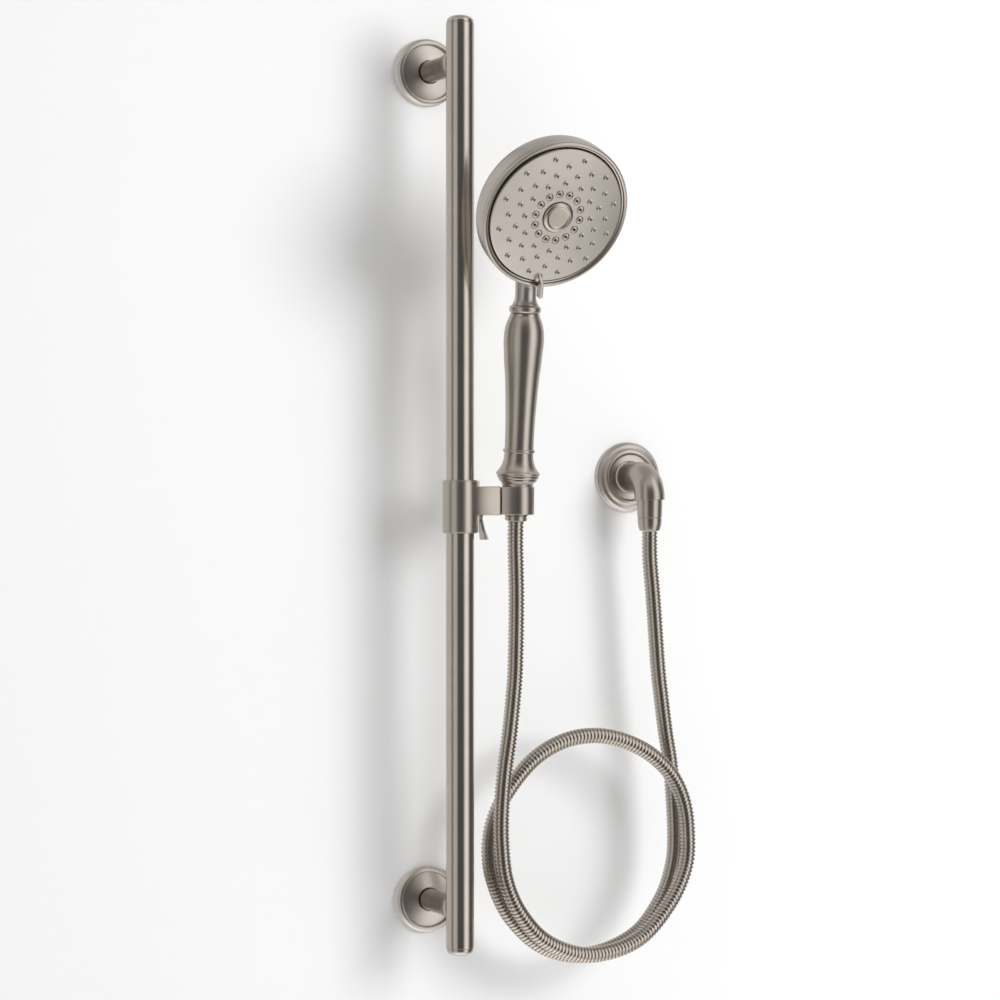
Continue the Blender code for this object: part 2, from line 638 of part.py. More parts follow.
def centre_places():
    places = []
    for index in range(CENTRE_SPRAYS):
        angle = math.radians(CENTRE_RING_START) + FULL_TURN * index / CENTRE_SPRAYS
        places.append((CENTRE_RING_R * math.cos(angle), CENTRE_RING_R * math.sin(angle)))
    return places


def pegs(name, places, radius, low, high, sides, tip=None):
    """Equal round pegs in one mesh, used as one cutter or joined to a plate."""
    turn = Matrix.Rotation(math.radians(PEG_TURN), 4, "Z")

    def build(cage):
        for x, y in places:
            shift = Matrix.Translation(Vector((x, y, (low + high) / 2)) * MM)
            bmesh.ops.create_cone(cage, cap_ends=True, segments=sides, radius1=radius * MM,
                                  radius2=(tip or radius) * MM, depth=(high - low) * MM,
                                  matrix=shift @ turn)
    return add(name, mesh_from(build, name), FACE_FRAME)


def make_face():
    plate_profile = [
        (HUB_R + 0.3, -0.1), (28.4, -0.1), (60.0, -2.6), (FACE_R, -4.0), (FACE_R, -8.4),
        (62.0, -8.4), (61.6, -5.2), (28.4, -2.7), (HUB_R + 0.3, -2.7)]
    plate = turned("face_plate", plate_profile, HEAD_FRAME, "nickel_satin", FINE)
    cut(plate, pegs("cut_sprays", spray_places(), SPRAY_HOLE_R, -12, 4, SPRAY_SIDES))
    cut(plate, pegs("cut_centre_sprays", centre_places(), CENTRE_SPRAY_R + 0.4, -12, 4, 6))
    join(plate, make_tab())

    mat_profile = [
        (27.2, -6.0), (61.0, -6.0), (61.0, -8.4), (27.2, -8.4)]
    mat = turned("nozzle_mat", mat_profile, HEAD_FRAME, "rubber_grey", MEDIUM)
    join(mat, pegs("join_nubs", spray_places(), SPRAY_NUB_R, -6.6, -0.6, SPRAY_SIDES, 0.8))

    centre_profile = [(18.0, -3.2), (26.4, -3.2), (26.4, -8.4), (18.0, -8.4)]
    centre = turned("centre_nozzle_ring", centre_profile, HEAD_FRAME, "plastic_dark", MEDIUM)
    join(centre, pegs("join_centre_nubs", centre_places(), CENTRE_SPRAY_R, -4.0, 0.5, 6))
    cut(centre, pegs("cut_centre_bores", centre_places(), 1.2, -12, 4, 4))

    hub_profile = [
        (0, 0.9), (5.0, 1.0), (9.2, 1.6), (10.4, 3.0), (12.2, 2.9), (HUB_R - 0.2, 0.9),
        (HUB_R - 0.2, -5.0), (0, -5.0)]
    hub = turned("hub_cap", hub_profile, HEAD_FRAME, "nickel", MEDIUM)
    diverter = ring("diverter_disc", 60.0, 4.2, -11.2, -8.8, HEAD_FRAME, "plastic_white", MEDIUM)
    selector = turned("face_carrier", [
        (6.0, -5.4), (17.4, -5.4), (17.4, -8.3), (6.0, -8.3)], HEAD_FRAME, "plastic_dark", COARSE)
    screw = turned("face_screw", [
        (0, -5.4), (5.4, -5.4), (5.4, -8.2), (3.6, -8.2), (3.6, -20.8), (0, -20.8)],
        HEAD_FRAME, "steel", COARSE)
    return [plate, mat, centre, hub, diverter, selector, screw]


def make_tab():
    """The thumb tab: a fin that grows from the lower edge of the face and overhangs the rim."""
    outline = [(53.0, -3.0), (58.0, 0.6), (61.5, 4.2), (64.0, 5.6), (76.5, 5.6), (78.0, 4.6),
               (78.0, -1.4), (66.5, -1.9), (63.0, -3.6), (58.0, -3.6)]
    turn = Euler((math.radians(90), 0, math.radians(-90)), "XYZ").to_matrix().to_4x4()
    return sheet("join_tab", [outline], 1.6, FACE_FRAME @ turn)


# ---------------------------------------------------------------- assembly

def body_empty(name, place):
    """An empty on the joint's axis, to which a moving body's nodes are parented."""
    empty = bpy.data.objects.new("axis_" + name, None)
    empty.empty_display_size = 0.02
    empty.location = Vector(place) * MM
    PARTS.objects.link(empty)
    bpy.context.view_layer.update()
    return empty


def parent_all(nodes, empty):
    for node in nodes:
        node.parent = empty
        node.matrix_parent_inverse = empty.matrix_world.inverted()


def main():
    make_bar()
    for side, height in POST_HEIGHTS.items():
        make_post(side, height)
    make_elbow()
    make_hose()
    arm_axis = (ARM_END_X, BAR_Y, ARM_Z)
    cradle_middle = (CRADLE_X, BAR_Y, ARM_Z)
    bodies = [
        ("sleeve", (0, BAR_Y, ARM_Z), make_sleeve()),
        ("slider", (0, BAR_Y, ARM_Z), make_slider() + make_lever_spring()),
        ("lever", (LEVER_PIN_X, BAR_Y, LEVER_PIN_Z), make_lever()),
        ("cradle", arm_axis, make_cradle()),
        ("hose_swivel", cradle_middle, make_hose_swivel()),
        ("handset", cradle_middle, make_handle() + make_head()),
        ("spray_face", FACE_CENTRE, make_face()),
    ]
    for name, place, nodes in bodies:
        parent_all(nodes, body_empty(name, place))


main()
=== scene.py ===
"""Looks for a wall-mounted hand shower kit: slide bar, holder, handset, hose and supply elbow."""
import json
import math

import bmesh
import bpy
from mathutils import Euler, Matrix, Vector

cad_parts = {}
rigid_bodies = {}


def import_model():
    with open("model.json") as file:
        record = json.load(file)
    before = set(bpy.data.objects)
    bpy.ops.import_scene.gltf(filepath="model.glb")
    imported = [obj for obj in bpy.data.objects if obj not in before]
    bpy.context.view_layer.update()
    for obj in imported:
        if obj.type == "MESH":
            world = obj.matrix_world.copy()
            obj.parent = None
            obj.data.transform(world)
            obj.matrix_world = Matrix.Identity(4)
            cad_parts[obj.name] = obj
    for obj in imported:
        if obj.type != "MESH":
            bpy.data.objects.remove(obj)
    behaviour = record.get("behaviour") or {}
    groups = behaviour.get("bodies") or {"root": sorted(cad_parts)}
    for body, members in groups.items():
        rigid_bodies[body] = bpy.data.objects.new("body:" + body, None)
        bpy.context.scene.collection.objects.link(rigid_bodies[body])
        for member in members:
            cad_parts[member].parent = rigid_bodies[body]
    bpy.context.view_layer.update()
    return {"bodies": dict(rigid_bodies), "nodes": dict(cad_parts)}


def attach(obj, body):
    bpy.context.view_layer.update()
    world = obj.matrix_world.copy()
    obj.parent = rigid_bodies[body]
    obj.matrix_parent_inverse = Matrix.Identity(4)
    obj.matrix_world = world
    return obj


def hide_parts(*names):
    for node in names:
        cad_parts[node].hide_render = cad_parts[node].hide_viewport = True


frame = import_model()

MM = 0.001
FULL_TURN = 2 * math.pi
SIDES = 96
FINE_SIDES = 128
# Edges sharper than these are shaded as edges, on most pieces, on the face plate and on the hose
SHARP_ANGLE = math.radians(32)
PLATE_SHARP_ANGLE = math.radians(24)
HOSE_SHARP_ANGLE = math.radians(40)
# A corner that bends less than this is part of a curve and isn't rounded
CURVE_ANGLE = math.radians(13)
# Spots nearer than this, in metres, become one
MERGE = 0.000002
SHORTEST_EDGE = 0.000001

# Places and sizes shared with the model, in mm and degrees
BAR_Y = -78.0
BAR_R = 12.7
BAR_BORE_R = 11.4
BAR_BOTTOM = -35.0
BAR_TOP = 797.0
POSTS = {"lower": 0.0, "upper": 762.0}
COLLAR_R = 16.0
COLLAR_BOTTOM = 337.8
COLLAR_TOP = 385.8
ARM_Z = 367.0
ARM_HALF_HEIGHT = 13.0
LEVER_PIN = (22.5, 360.5)
LEVER_HALF_WIDTH = 6.8
CRADLE_X = 56.2
CRADLE_R = 15.9
CRADLE_HALF_HEIGHT = 12.7
HANDSET_LEAN = 6.0
FACE_CENTRE = (56.4, -164.0, 617.0)
FACE_PITCH = 118.8
FACE_YAW = 2.0
SPRAY_RINGS = (32.5, 40.4, 48.1, 55.5)
SPRAYS_PER_RING = 12
CENTRE_SPRAYS = 14
CENTRE_RING_R = 22.2
CENTRE_RING_START = 21.5
ELBOW_X = 207.8
ELBOW_Y = -47.3
ELBOW_Z = 389.5
ELBOW_R = 14.1
ELBOW_BORE_R = 8.6
ELBOW_BEND_R = 20.0

# The hose's route from the handset, round its loop and up to the elbow, in metres
HOSE_ROUTE = [
    (0.0562, -0.0760, 0.3487), (0.0566, -0.0745, 0.3260), (0.0578, -0.0740, 0.2770),
    (0.0567, -0.0740, 0.2170), (0.0540, -0.0750, 0.1870), (0.0500, -0.0758, 0.1550),
    (0.0453, -0.0760, 0.1240), (0.0422, -0.0760, 0.0890), (0.0420, -0.0760, 0.0570),
    (0.0465, -0.0765, 0.0220), (0.0610, -0.0770, -0.0090), (0.0880, -0.0770, -0.0360),
    (0.1300, -0.0770, -0.0500), (0.1790, -0.0762, -0.0400), (0.2130, -0.0750, -0.0090),
    (0.2320, -0.0732, 0.0260), (0.2350, -0.0712, 0.0600), (0.2312, -0.0695, 0.0880),
    (0.2195, -0.0675, 0.1120), (0.1980, -0.0652, 0.1320), (0.1710, -0.0630, 0.1450),
    (0.1430, -0.0610, 0.1500), (0.1130, -0.0595, 0.1460), (0.0840, -0.0583, 0.1310),
    (0.0600, -0.0575, 0.1060), (0.0445, -0.0570, 0.0800), (0.0385, -0.0565, 0.0520),
    (0.0430, -0.0562, 0.0200), (0.0610, -0.0560, -0.0150), (0.0950, -0.0560, -0.0440),
    (0.1400, -0.0560, -0.0530), (0.1870, -0.0550, -0.0380), (0.2150, -0.0540, -0.0080),
    (0.2285, -0.0530, 0.0240), (0.2318, -0.0518, 0.0560), (0.2290, -0.0500, 0.1130),
    (0.2235, -0.0490, 0.1500), (0.2195, -0.0485, 0.1810), (0.2160, -0.0480, 0.2120),
    (0.2115, -0.0475, 0.2740), (0.2081, -0.0473, 0.3120), (0.2078, -0.0473, 0.3384),
]
HOSE_PITCH = 0.0035
HOSE_SIDES = 20
# The length that follows the hose's nut on the handset, eased out along it
HOSE_BEND_LENGTH = 0.30
# One rib of the hose: (share of the pitch, radius in mm)
HOSE_RIB = ((0.0, 6.1), (0.09, 6.15), (0.17, 7.15), (0.5, 7.4), (0.83, 7.15), (0.91, 6.15))


def frame_at(x, y, z, rotation=(0, 0, 0)):
    """A frame at a place in mm, turned by Euler angles in degrees."""
    turn = Euler([math.radians(angle) for angle in rotation], "XYZ").to_matrix().to_4x4()
    return Matrix.Translation(Vector((x, y, z)) * MM) @ turn


def wall_frame(x, z):
    """A frame on the wall face whose +Z points out into the room."""
    return frame_at(x, 0, z, (90, 0, 0))


BAR_FRAME = frame_at(0, BAR_Y, 0)
HANDSET_FRAME = frame_at(CRADLE_X, BAR_Y, ARM_Z, (HANDSET_LEAN, 0, 0))
FACE_FRAME = frame_at(*FACE_CENTRE, (FACE_PITCH, 0, FACE_YAW))
OUTLET_FRAME = frame_at(ELBOW_X, ELBOW_Y, 0)
ARM_FRAME = frame_at(0, BAR_Y, ARM_Z, (0, 90, 0))
SHOE_FRAME = frame_at(0, BAR_Y, LEVER_PIN[1], (0, 90, 0))
LEVER_FRAME = frame_at(LEVER_PIN[0], BAR_Y, LEVER_PIN[1], (90, 0, 0))


# ---------------------------------------------------------------- camera, stage and light

CAMERA_PLACE = (-1.087, -2.550, 0.3678)
CAMERA_TURN = -24.5
CAMERA_LENS = 108
CAMERA_SENSOR = 36
PAINT_ROUGHNESS = 0.9
PAINT_SHINE = 0.1
FLOOR_Z = -1.0
FLOOR_SIZE = 40.0
WALL_HALF_WIDTH = 1.5
WALL_TOP = 2.2
PALE = (0.895, 0.895, 0.898, 1)
LAMP_PLACE = (1.55, -2.6, 1.10)
LAMP_TARGET = (0.08, -0.05, 0.38)
LAMP_SIZE = 1.6
LAMP_POWER = 50


def make_camera():
    data = bpy.data.cameras.new("camera")
    data.lens = CAMERA_LENS
    data.sensor_width = CAMERA_SENSOR
    camera = bpy.data.objects.new("camera", data)
    bpy.context.scene.collection.objects.link(camera)
    camera.location = CAMERA_PLACE
    camera.rotation_euler = (math.radians(90), 0, math.radians(CAMERA_TURN))
    bpy.context.scene.camera = camera


def flat_sheet(name, corners, material):
    mesh = bpy.data.meshes.new(name)
    mesh.from_pydata(corners, [], [(0, 1, 2, 3)])
    mesh.materials.append(material)
    item = bpy.data.objects.new(name, mesh)
    bpy.context.scene.collection.objects.link(item)
    return item


def stage_material(name, one_sided):
    """Pale matt paint."""
    material = bpy.data.materials.new(name)
    material.use_nodes = True
    nodes = material.node_tree.nodes
    links = material.node_tree.links
    paint = nodes["Principled BSDF"]
    paint.inputs["Base Color"].default_value = PALE
    paint.inputs["Roughness"].default_value = PAINT_ROUGHNESS
    paint.inputs["Specular IOR Level"].default_value = PAINT_SHINE
    if one_sided:
        side = nodes.new("ShaderNodeNewGeometry")
        clear = nodes.new("ShaderNodeBsdfTransparent")
        mix = nodes.new("ShaderNodeMixShader")
        links.new(side.outputs["Backfacing"], mix.inputs["Fac"])
        links.new(paint.outputs["BSDF"], mix.inputs[1])
        links.new(clear.outputs["BSDF"], mix.inputs[2])
        links.new(mix.outputs["Shader"], nodes["Material Output"].inputs["Surface"])
    return material


def make_stage():
    """A wall and a floor. The metal doesn't mirror them: it mirrors the world's room."""
    wide = WALL_HALF_WIDTH
    wall = flat_sheet("stage_wall", [
        (-wide, 0, FLOOR_Z), (wide, 0, FLOOR_Z), (wide, 0, WALL_TOP), (-wide, 0, WALL_TOP)],
        stage_material("stage_wall_paint", True))
    wall.visible_glossy = False
    half = FLOOR_SIZE / 2
    ground = flat_sheet("stage_floor", [
        (-half, -half, FLOOR_Z), (half, -half, FLOOR_Z), (half, half, FLOOR_Z), (-half, half, FLOOR_Z)],
        stage_material("stage_floor_paint", False))
    ground.visible_glossy = False


ROOM_PALE = 0.80
ROOM_DARK = 0.115
ROOM_TINT = (1.0, 0.995, 0.985, 1)
BACKDROP_LEVEL = 0.95
# The glow from below, the dim ceiling, the dark cards and the tall soft box: from and to in degrees
# from straight ahead, lowest and highest elevation, softness of the edges and brightness. The upper
# and lower edges are twice as soft.
ROOM_PARTS = (
    ((-200, 200), (-140, -55), 17, 1.60),
    ((-200, 200), (58, 140), 14, 0.50),
    ((-46, 9), (-42, 36), 7, ROOM_DARK),
    ((57, 97), (-42, 36), 7, ROOM_DARK),
    ((-97, -80), (-42, 36), 7, 0.26),
    ((17, 46), (-38, 62), 7, 1.46),
)


def feed(tree, socket, value):
    """Gives a socket a plain number or another node's output."""
    if isinstance(value, (int, float)):
        socket.default_value = value
    else:
        tree.links.new(value, socket)


def math_node(tree, operation, *values):
    node = tree.nodes.new("ShaderNodeMath")
    node.operation = operation
    for socket, value in zip(node.inputs, values):
        feed(tree, socket, value)
    return node.outputs[0]


def step_up(tree, value, edge, soft):
    """0 below an edge and 1 above it, eased over a soft width."""
    node = tree.nodes.new("ShaderNodeMapRange")
    node.interpolation_type = "SMOOTHSTEP"
    tree.links.new(value, node.inputs["Value"])
    node.inputs["From Min"].default_value = edge - soft / 2
    node.inputs["From Max"].default_value = edge + soft / 2
    return node.outputs["Result"]


def inside(tree, value, limits, soft):
    """1 between two limits and 0 outside them."""
    above = step_up(tree, value, limits[0], soft)
    below = math_node(tree, "SUBTRACT", 1.0, step_up(tree, value, limits[1], soft))
    return math_node(tree, "MULTIPLY", above, below)


def room_level(tree):
    """The room's brightness in each direction, with its parts laid over one another in turn."""
    place = tree.nodes.new("ShaderNodeTexCoord")
    split = tree.nodes.new("ShaderNodeSeparateXYZ")
    tree.links.new(place.outputs["Generated"], split.inputs[0])
    ahead = math_node(tree, "MULTIPLY", split.outputs["Y"], -1.0)
    azimuth = math_node(tree, "DEGREES", math_node(tree, "ARCTAN2", split.outputs["X"], ahead))
    height = math_node(tree, "DEGREES", math_node(tree, "ARCSINE", split.outputs["Z"]))
    level = ROOM_PALE
    for turn, rise, soft, brightness in ROOM_PARTS:
        mask = math_node(tree, "MULTIPLY", inside(tree, azimuth, turn, soft),
                         inside(tree, height, rise, soft * 2))
        mix = tree.nodes.new("ShaderNodeMix")
        mix.data_type = "FLOAT"
        feed(tree, mix.inputs[0], mask)
        feed(tree, mix.inputs[2], level)
        feed(tree, mix.inputs[3], brightness)
        level = mix.outputs[0]
    return level


def make_world():
    """The room that the metal mirrors, laid out by direction. The camera sees a plain backdrop."""
    world = bpy.data.worlds.new("studio")
    bpy.context.scene.world = world
    world.use_nodes = True
    tree = world.node_tree
    tree.nodes.clear()
    room = tree.nodes.new("ShaderNodeBackground")
    room.inputs["Color"].default_value = ROOM_TINT
    tree.links.new(room_level(tree), room.inputs["Strength"])
    backdrop = tree.nodes.new("ShaderNodeBackground")
    backdrop.inputs["Color"].default_value = PALE
    backdrop.inputs["Strength"].default_value = BACKDROP_LEVEL
    seen = tree.nodes.new("ShaderNodeLightPath")
    choose = tree.nodes.new("ShaderNodeMixShader")
    tree.links.new(seen.outputs["Is Camera Ray"], choose.inputs["Fac"])
    tree.links.new(room.outputs[0], choose.inputs[1])
    tree.links.new(backdrop.outputs[0], choose.inputs[2])
    out = tree.nodes.new("ShaderNodeOutputWorld")
    tree.links.new(choose.outputs[0], out.inputs["Surface"])


def make_lamp():
    """A large soft lamp for the wall's light and shadows. The metal mirrors the room instead."""
    data = bpy.data.lights.new("key_lamp", "AREA")
    data.shape = "DISK"
    data.size = LAMP_SIZE
    data.energy = LAMP_POWER
    lamp = bpy.data.objects.new("key_lamp", data)
    bpy.context.scene.collection.objects.link(lamp)
    lamp.location = LAMP_PLACE
    aim = Vector(LAMP_TARGET) - Vector(LAMP_PLACE)
    lamp.rotation_euler = aim.to_track_quat("-Z", "Y").to_euler()
    lamp.visible_glossy = False
    lamp.visible_camera = False


# ---------------------------------------------------------------- materials

def principled(name, roughness, metallic, specular):
    material = bpy.data.materials.new(name)
    material.use_nodes = True
    shader = material.node_tree.nodes["Principled BSDF"]
    shader.inputs["Roughness"].default_value = roughness
    shader.inputs["Metallic"].default_value = metallic
    shader.inputs["Specular IOR Level"].default_value = specular
    return material, material.node_tree.nodes, material.node_tree.links, shader


def grain(nodes, links, scale, stretch, detail):
    """Noise laid over the piece in metres, drawn out along the axes with a small stretch."""
    place = nodes.new("ShaderNodeTexCoord")
    mapping = nodes.new("ShaderNodeMapping")
    mapping.inputs["Scale"].default_value = stretch
    noise = nodes.new("ShaderNodeTexNoise")
    noise.inputs["Scale"].default_value = scale
    noise.inputs["Detail"].default_value = detail
    links.new(place.outputs["Object"], mapping.inputs["Vector"])
    links.new(mapping.outputs["Vector"], noise.inputs["Vector"])
    return noise.outputs["Fac"]


def ramp(nodes, links, value, first, second):
    """From the first colour to the second over the middle of a value's range."""
    mix = nodes.new("ShaderNodeValToRGB")
    for stop, position, colour in zip(mix.color_ramp.elements, (0.3, 0.7), (first, second)):
        stop.position = position
        stop.color = (*colour, 1)
    links.new(value, mix.inputs["Fac"])
    return mix.outputs["Color"]


def spread(nodes, links, value, middle, reach):
    """A value from 0 to 1 moved to lie within reach of a middle."""
    node = nodes.new("ShaderNodeMapRange")
    node.inputs["To Min"].default_value = middle - reach
    node.inputs["To Max"].default_value = middle + reach
    links.new(value, node.inputs["Value"])
    return node.outputs["Result"]


def bump(nodes, links, shader, value, strength, depth):
    node = nodes.new("ShaderNodeBump")
    node.inputs["Strength"].default_value = strength
    node.inputs["Distance"].default_value = depth
    links.new(value, node.inputs["Height"])
    links.new(node.outputs["Normal"], shader.inputs["Normal"])


EVEN = (1, 1, 1)
ROUND_THE_BAR = (0.5, 0.5, 6.0)
ROUND_THE_PIECE = (0.6, 0.6, 3.0)
UP_AND_DOWN = (3.0, 0.7, 0.7)
# How nickel's and matt surfaces' fine grain is scaled, and how far it moves roughness and relief
MOTTLE_SCALE = 38.0
BRUSH_SCALE = 1400.0
BRUSH_ROUGHNESS = 0.05
BRUSH_RELIEF = (0.25, 0.00002)
GRAIN_SCALE = 260.0
GRAIN_ROUGHNESS = 0.06
GRAIN_RELIEF = (0.2, 0.00003)


def nickel(name, tone, roughness, stretch):
    """Brushed nickel: fine stretched brush lines in its roughness and relief, over slow mottling."""
    material, nodes, links, shader = principled(name, roughness, 1.0, 0.5)
    slow = grain(nodes, links, MOTTLE_SCALE, EVEN, 2.0)
    light = [part * 1.035 for part in tone]
    dark = [part * 0.965 for part in tone]
    links.new(ramp(nodes, links, slow, dark, light), shader.inputs["Base Color"])
    lines = grain(nodes, links, BRUSH_SCALE, stretch, 2.0)
    links.new(spread(nodes, links, lines, roughness, BRUSH_ROUGHNESS), shader.inputs["Roughness"])
    bump(nodes, links, shader, lines, *BRUSH_RELIEF)
    return material


def matt(name, first, second, roughness, metallic=0.0):
    """Moulded plastic, rubber, or plain metal with a fine even grain."""
    material, nodes, links, shader = principled(name, roughness, metallic, 0.4)
    fine = grain(nodes, links, GRAIN_SCALE, EVEN, 3.0)
    links.new(ramp(nodes, links, fine, first, second), shader.inputs["Base Color"])
    links.new(spread(nodes, links, fine, roughness, GRAIN_ROUGHNESS), shader.inputs["Roughness"])
    bump(nodes, links, shader, fine, *GRAIN_RELIEF)
    return material


def make_materials():
    """A material for each slot: nickel by tone, roughness and brushing, the rest by two colours."""
    return {
        "bar_nickel": nickel("bar_nickel", (0.505, 0.452, 0.398), 0.21, ROUND_THE_BAR),
        "cover_nickel": nickel("cover_nickel", (0.57, 0.527, 0.483), 0.33, EVEN),
        "plated_nickel": nickel("plated_nickel", (0.48, 0.43, 0.378), 0.30, ROUND_THE_PIECE),
        "face_nickel": nickel("face_nickel", (0.525, 0.484, 0.443), 0.34, UP_AND_DOWN),
        "hose_metal": nickel("hose_metal", (0.49, 0.44, 0.39), 0.22, EVEN),
        "zinc_steel": matt("zinc_steel", (0.50, 0.50, 0.51), (0.62, 0.62, 0.62), 0.34, metallic=1.0),
        "brass": matt("brass", (0.55, 0.38, 0.14), (0.66, 0.47, 0.19), 0.36, metallic=1.0),
        "seal_rubber": matt("seal_rubber", (0.012, 0.012, 0.012), (0.025, 0.025, 0.026), 0.62),
        "nozzle_rubber": matt("nozzle_rubber", (0.30, 0.275, 0.25), (0.36, 0.33, 0.30), 0.45),
        "dark_plastic": matt("dark_plastic", (0.02, 0.019, 0.018), (0.035, 0.033, 0.031), 0.42),
        "pale_plastic": matt("pale_plastic", (0.66, 0.66, 0.63), (0.74, 0.74, 0.71), 0.42),
    }


# ---------------------------------------------------------------- building shapes

def new_piece(name, mesh):
    item = bpy.data.objects.new(name, mesh)
    bpy.context.scene.collection.objects.link(item)
    return item


def from_cage(name, cage):
    """An object from a bmesh, with its faces turned outward."""
    bmesh.ops.recalc_face_normals(cage, faces=cage.faces)
    mesh = bpy.data.meshes.new(name)
    cage.to_mesh(mesh)
    cage.free()
    return new_piece(name, mesh)


# How far a corner's rounding reaches along its sides: at least so many mm, and at most this share
SHORTEST_REACH = 0.05
LONGEST_REACH = 0.42
# A holding point keeps a flat side's shading flat up to its rounded corner
HOLD = 1.7


def rounded(outline, radius, steps=3):
    """A closed outline with its corners rounded and a holding point on both sides of each."""
    count = len(outline)
    result = []
    for index, point in enumerate(outline):
        corner = Vector(point)
        before = Vector(outline[index - 1]) - corner
        after = Vector(outline[(index + 1) % count]) - corner
        on_axis = abs(corner.x) < 1e-6
        bend = math.pi - before.angle(after)
        if on_axis or bend < CURVE_ANGLE:
            result.append(corner)
            continue
        reach = radius * math.tan(bend / 2)
        reach = min(max(reach, SHORTEST_REACH), LONGEST_REACH * before.length,
                    LONGEST_REACH * after.length)
        start = corner + before.normalized() * reach
        end = corner + after.normalized() * reach
        if before.length > 4 * reach:
            result.append(corner + before.normalized() * reach * HOLD)
        for step in range(steps + 1):
            t = step / steps
            result.append((1 - t) ** 2 * start + 2 * t * (1 - t) * corner + t ** 2 * end)
        if after.length > 4 * reach:
            result.append(corner + after.normalized() * reach * HOLD)
    return [(point.x, point.y) for point in result]


def catmull(points, steps=4):
    """A smooth curve through points of two or three numbers."""
    nodes = [Vector(point) for point in points]
    ends = [2 * nodes[0] - nodes[1]] + nodes + [2 * nodes[-1] - nodes[-2]]
    fine = []
    for index in range(1, len(ends) - 2):
        before, start, end, after = ends[index - 1:index + 3]
        for step in range(steps):
            t = step / steps
            fine.append(0.5 * (
                2 * start + (end - before) * t
                + (2 * before - 5 * start + 4 * end - after) * t ** 2
                + (3 * start - before - 3 * end + after) * t ** 3))
    fine.append(nodes[-1])
    return [tuple(point) for point in fine]


def turned(name, outline, place, sides=SIDES, radius=0.35):
    """A round piece from a closed outline of (radius, height) in mm, turned about place's Z."""
    cage = bmesh.new()
    rings = []
    for across, height in (rounded(outline, radius) if radius else outline):
        if across < 1e-4:
            rings.append([cage.verts.new(place @ (Vector((0, 0, height)) * MM))] * sides)
            continue
        ring = []
        for side in range(sides):
            angle = FULL_TURN * side / sides
            spot = Vector((across * math.cos(angle), across * math.sin(angle), height))
            ring.append(cage.verts.new(place @ (spot * MM)))
        rings.append(ring)
    for index, ring in enumerate(rings):
        other = rings[index - 1]
        for side in range(sides):
            after = (side + 1) % sides
            corners = list(dict.fromkeys((other[side], other[after], ring[after], ring[side])))
            if len(corners) > 2:
                cage.faces.new(corners)
    return from_cage(name, cage)


def rod(name, radius, low, high, place, sides=48):
    """A plain cylinder between two heights along place's Z."""
    return turned(name, [(0, high), (radius, high), (radius, low), (0, low)], place, sides, 0)


def prism(name, outline, low, high, place=Matrix.Identity(4), bevel=0.0):
    """A flat outline in mm, raised from low to high along place's Z, with rounded edges."""
    cage = bmesh.new()
    rings = []
    for height in (low, high):
        rings.append([cage.verts.new(place @ (Vector((x, y, height)) * MM)) for x, y in outline])
    cage.faces.new(rings[0][::-1])
    cage.faces.new(rings[1])
    count = len(outline)
    for index in range(count):
        after = (index + 1) % count
        cage.faces.new((rings[0][index], rings[0][after], rings[1][after], rings[1][index]))
    item = from_cage(name, cage)
    if bevel:
        soften_edges(item, bevel)
    return item


def soften_edges(item, width):
    """Rounds a piece's edges by a width in mm."""
    edge = item.modifiers.new("edge", "BEVEL")
    edge.width = width * MM
    edge.segments = 3
    edge.limit_method = "ANGLE"
    edge.angle_limit = math.radians(35)
    edge.harden_normals = False
    apply_modifiers(item)


def sweep(name, spots, radii, sides):
    """A round tube of solid material along spots in metres, with a radius in mm for each."""
    spots = [Vector(spot) for spot in spots]
    cage = bmesh.new()
    rings = []
    side_way = None
    for index, spot in enumerate(spots):
        ahead = (spots[min(index + 1, len(spots) - 1)] - spots[max(index - 1, 0)]).normalized()
        if side_way is None:
            side_way = ahead.orthogonal().normalized()
        side_way = (side_way - ahead * side_way.dot(ahead)).normalized()
        up = ahead.cross(side_way)
        ring = []
        for side in range(sides):
            angle = FULL_TURN * side / sides
            out = side_way * math.cos(angle) + up * math.sin(angle)
            ring.append(cage.verts.new(spot + out * radii[index] * MM))
        rings.append(ring)
    for ring, other in zip(rings, rings[1:]):
        for side in range(sides):
            after = (side + 1) % sides
            cage.faces.new((ring[side], ring[after], other[after], other[side]))
    cage.faces.new(rings[0][::-1])
    cage.faces.new(rings[-1])
    return from_cage(name, cage)


def apply_modifiers(item):
    graph = bpy.context.evaluated_depsgraph_get()
    graph.update()
    mesh = bpy.data.meshes.new_from_object(item.evaluated_get(graph))
    old = item.data
    item.modifiers.clear()
    item.data = mesh
    bpy.data.meshes.remove(old)


def change(item, other, operation):
    """Cuts another solid from this one, or joins it on, and uses the other solid up."""
    step = item.modifiers.new("shape", "BOOLEAN")
    step.operation = operation
    step.solver = "EXACT"
    step.object = other
    apply_modifiers(item)
    bpy.data.objects.remove(other, do_unlink=True)


def cut(item, other):
    change(item, other, "DIFFERENCE")


def join(item, other):
    change(item, other, "UNION")


def merged(name, items):
    """Several separate solids as one mesh."""
    cage = bmesh.new()
    for item in items:
        cage.from_mesh(item.data)
        bpy.data.objects.remove(item, do_unlink=True)
    return from_cage(name, cage)


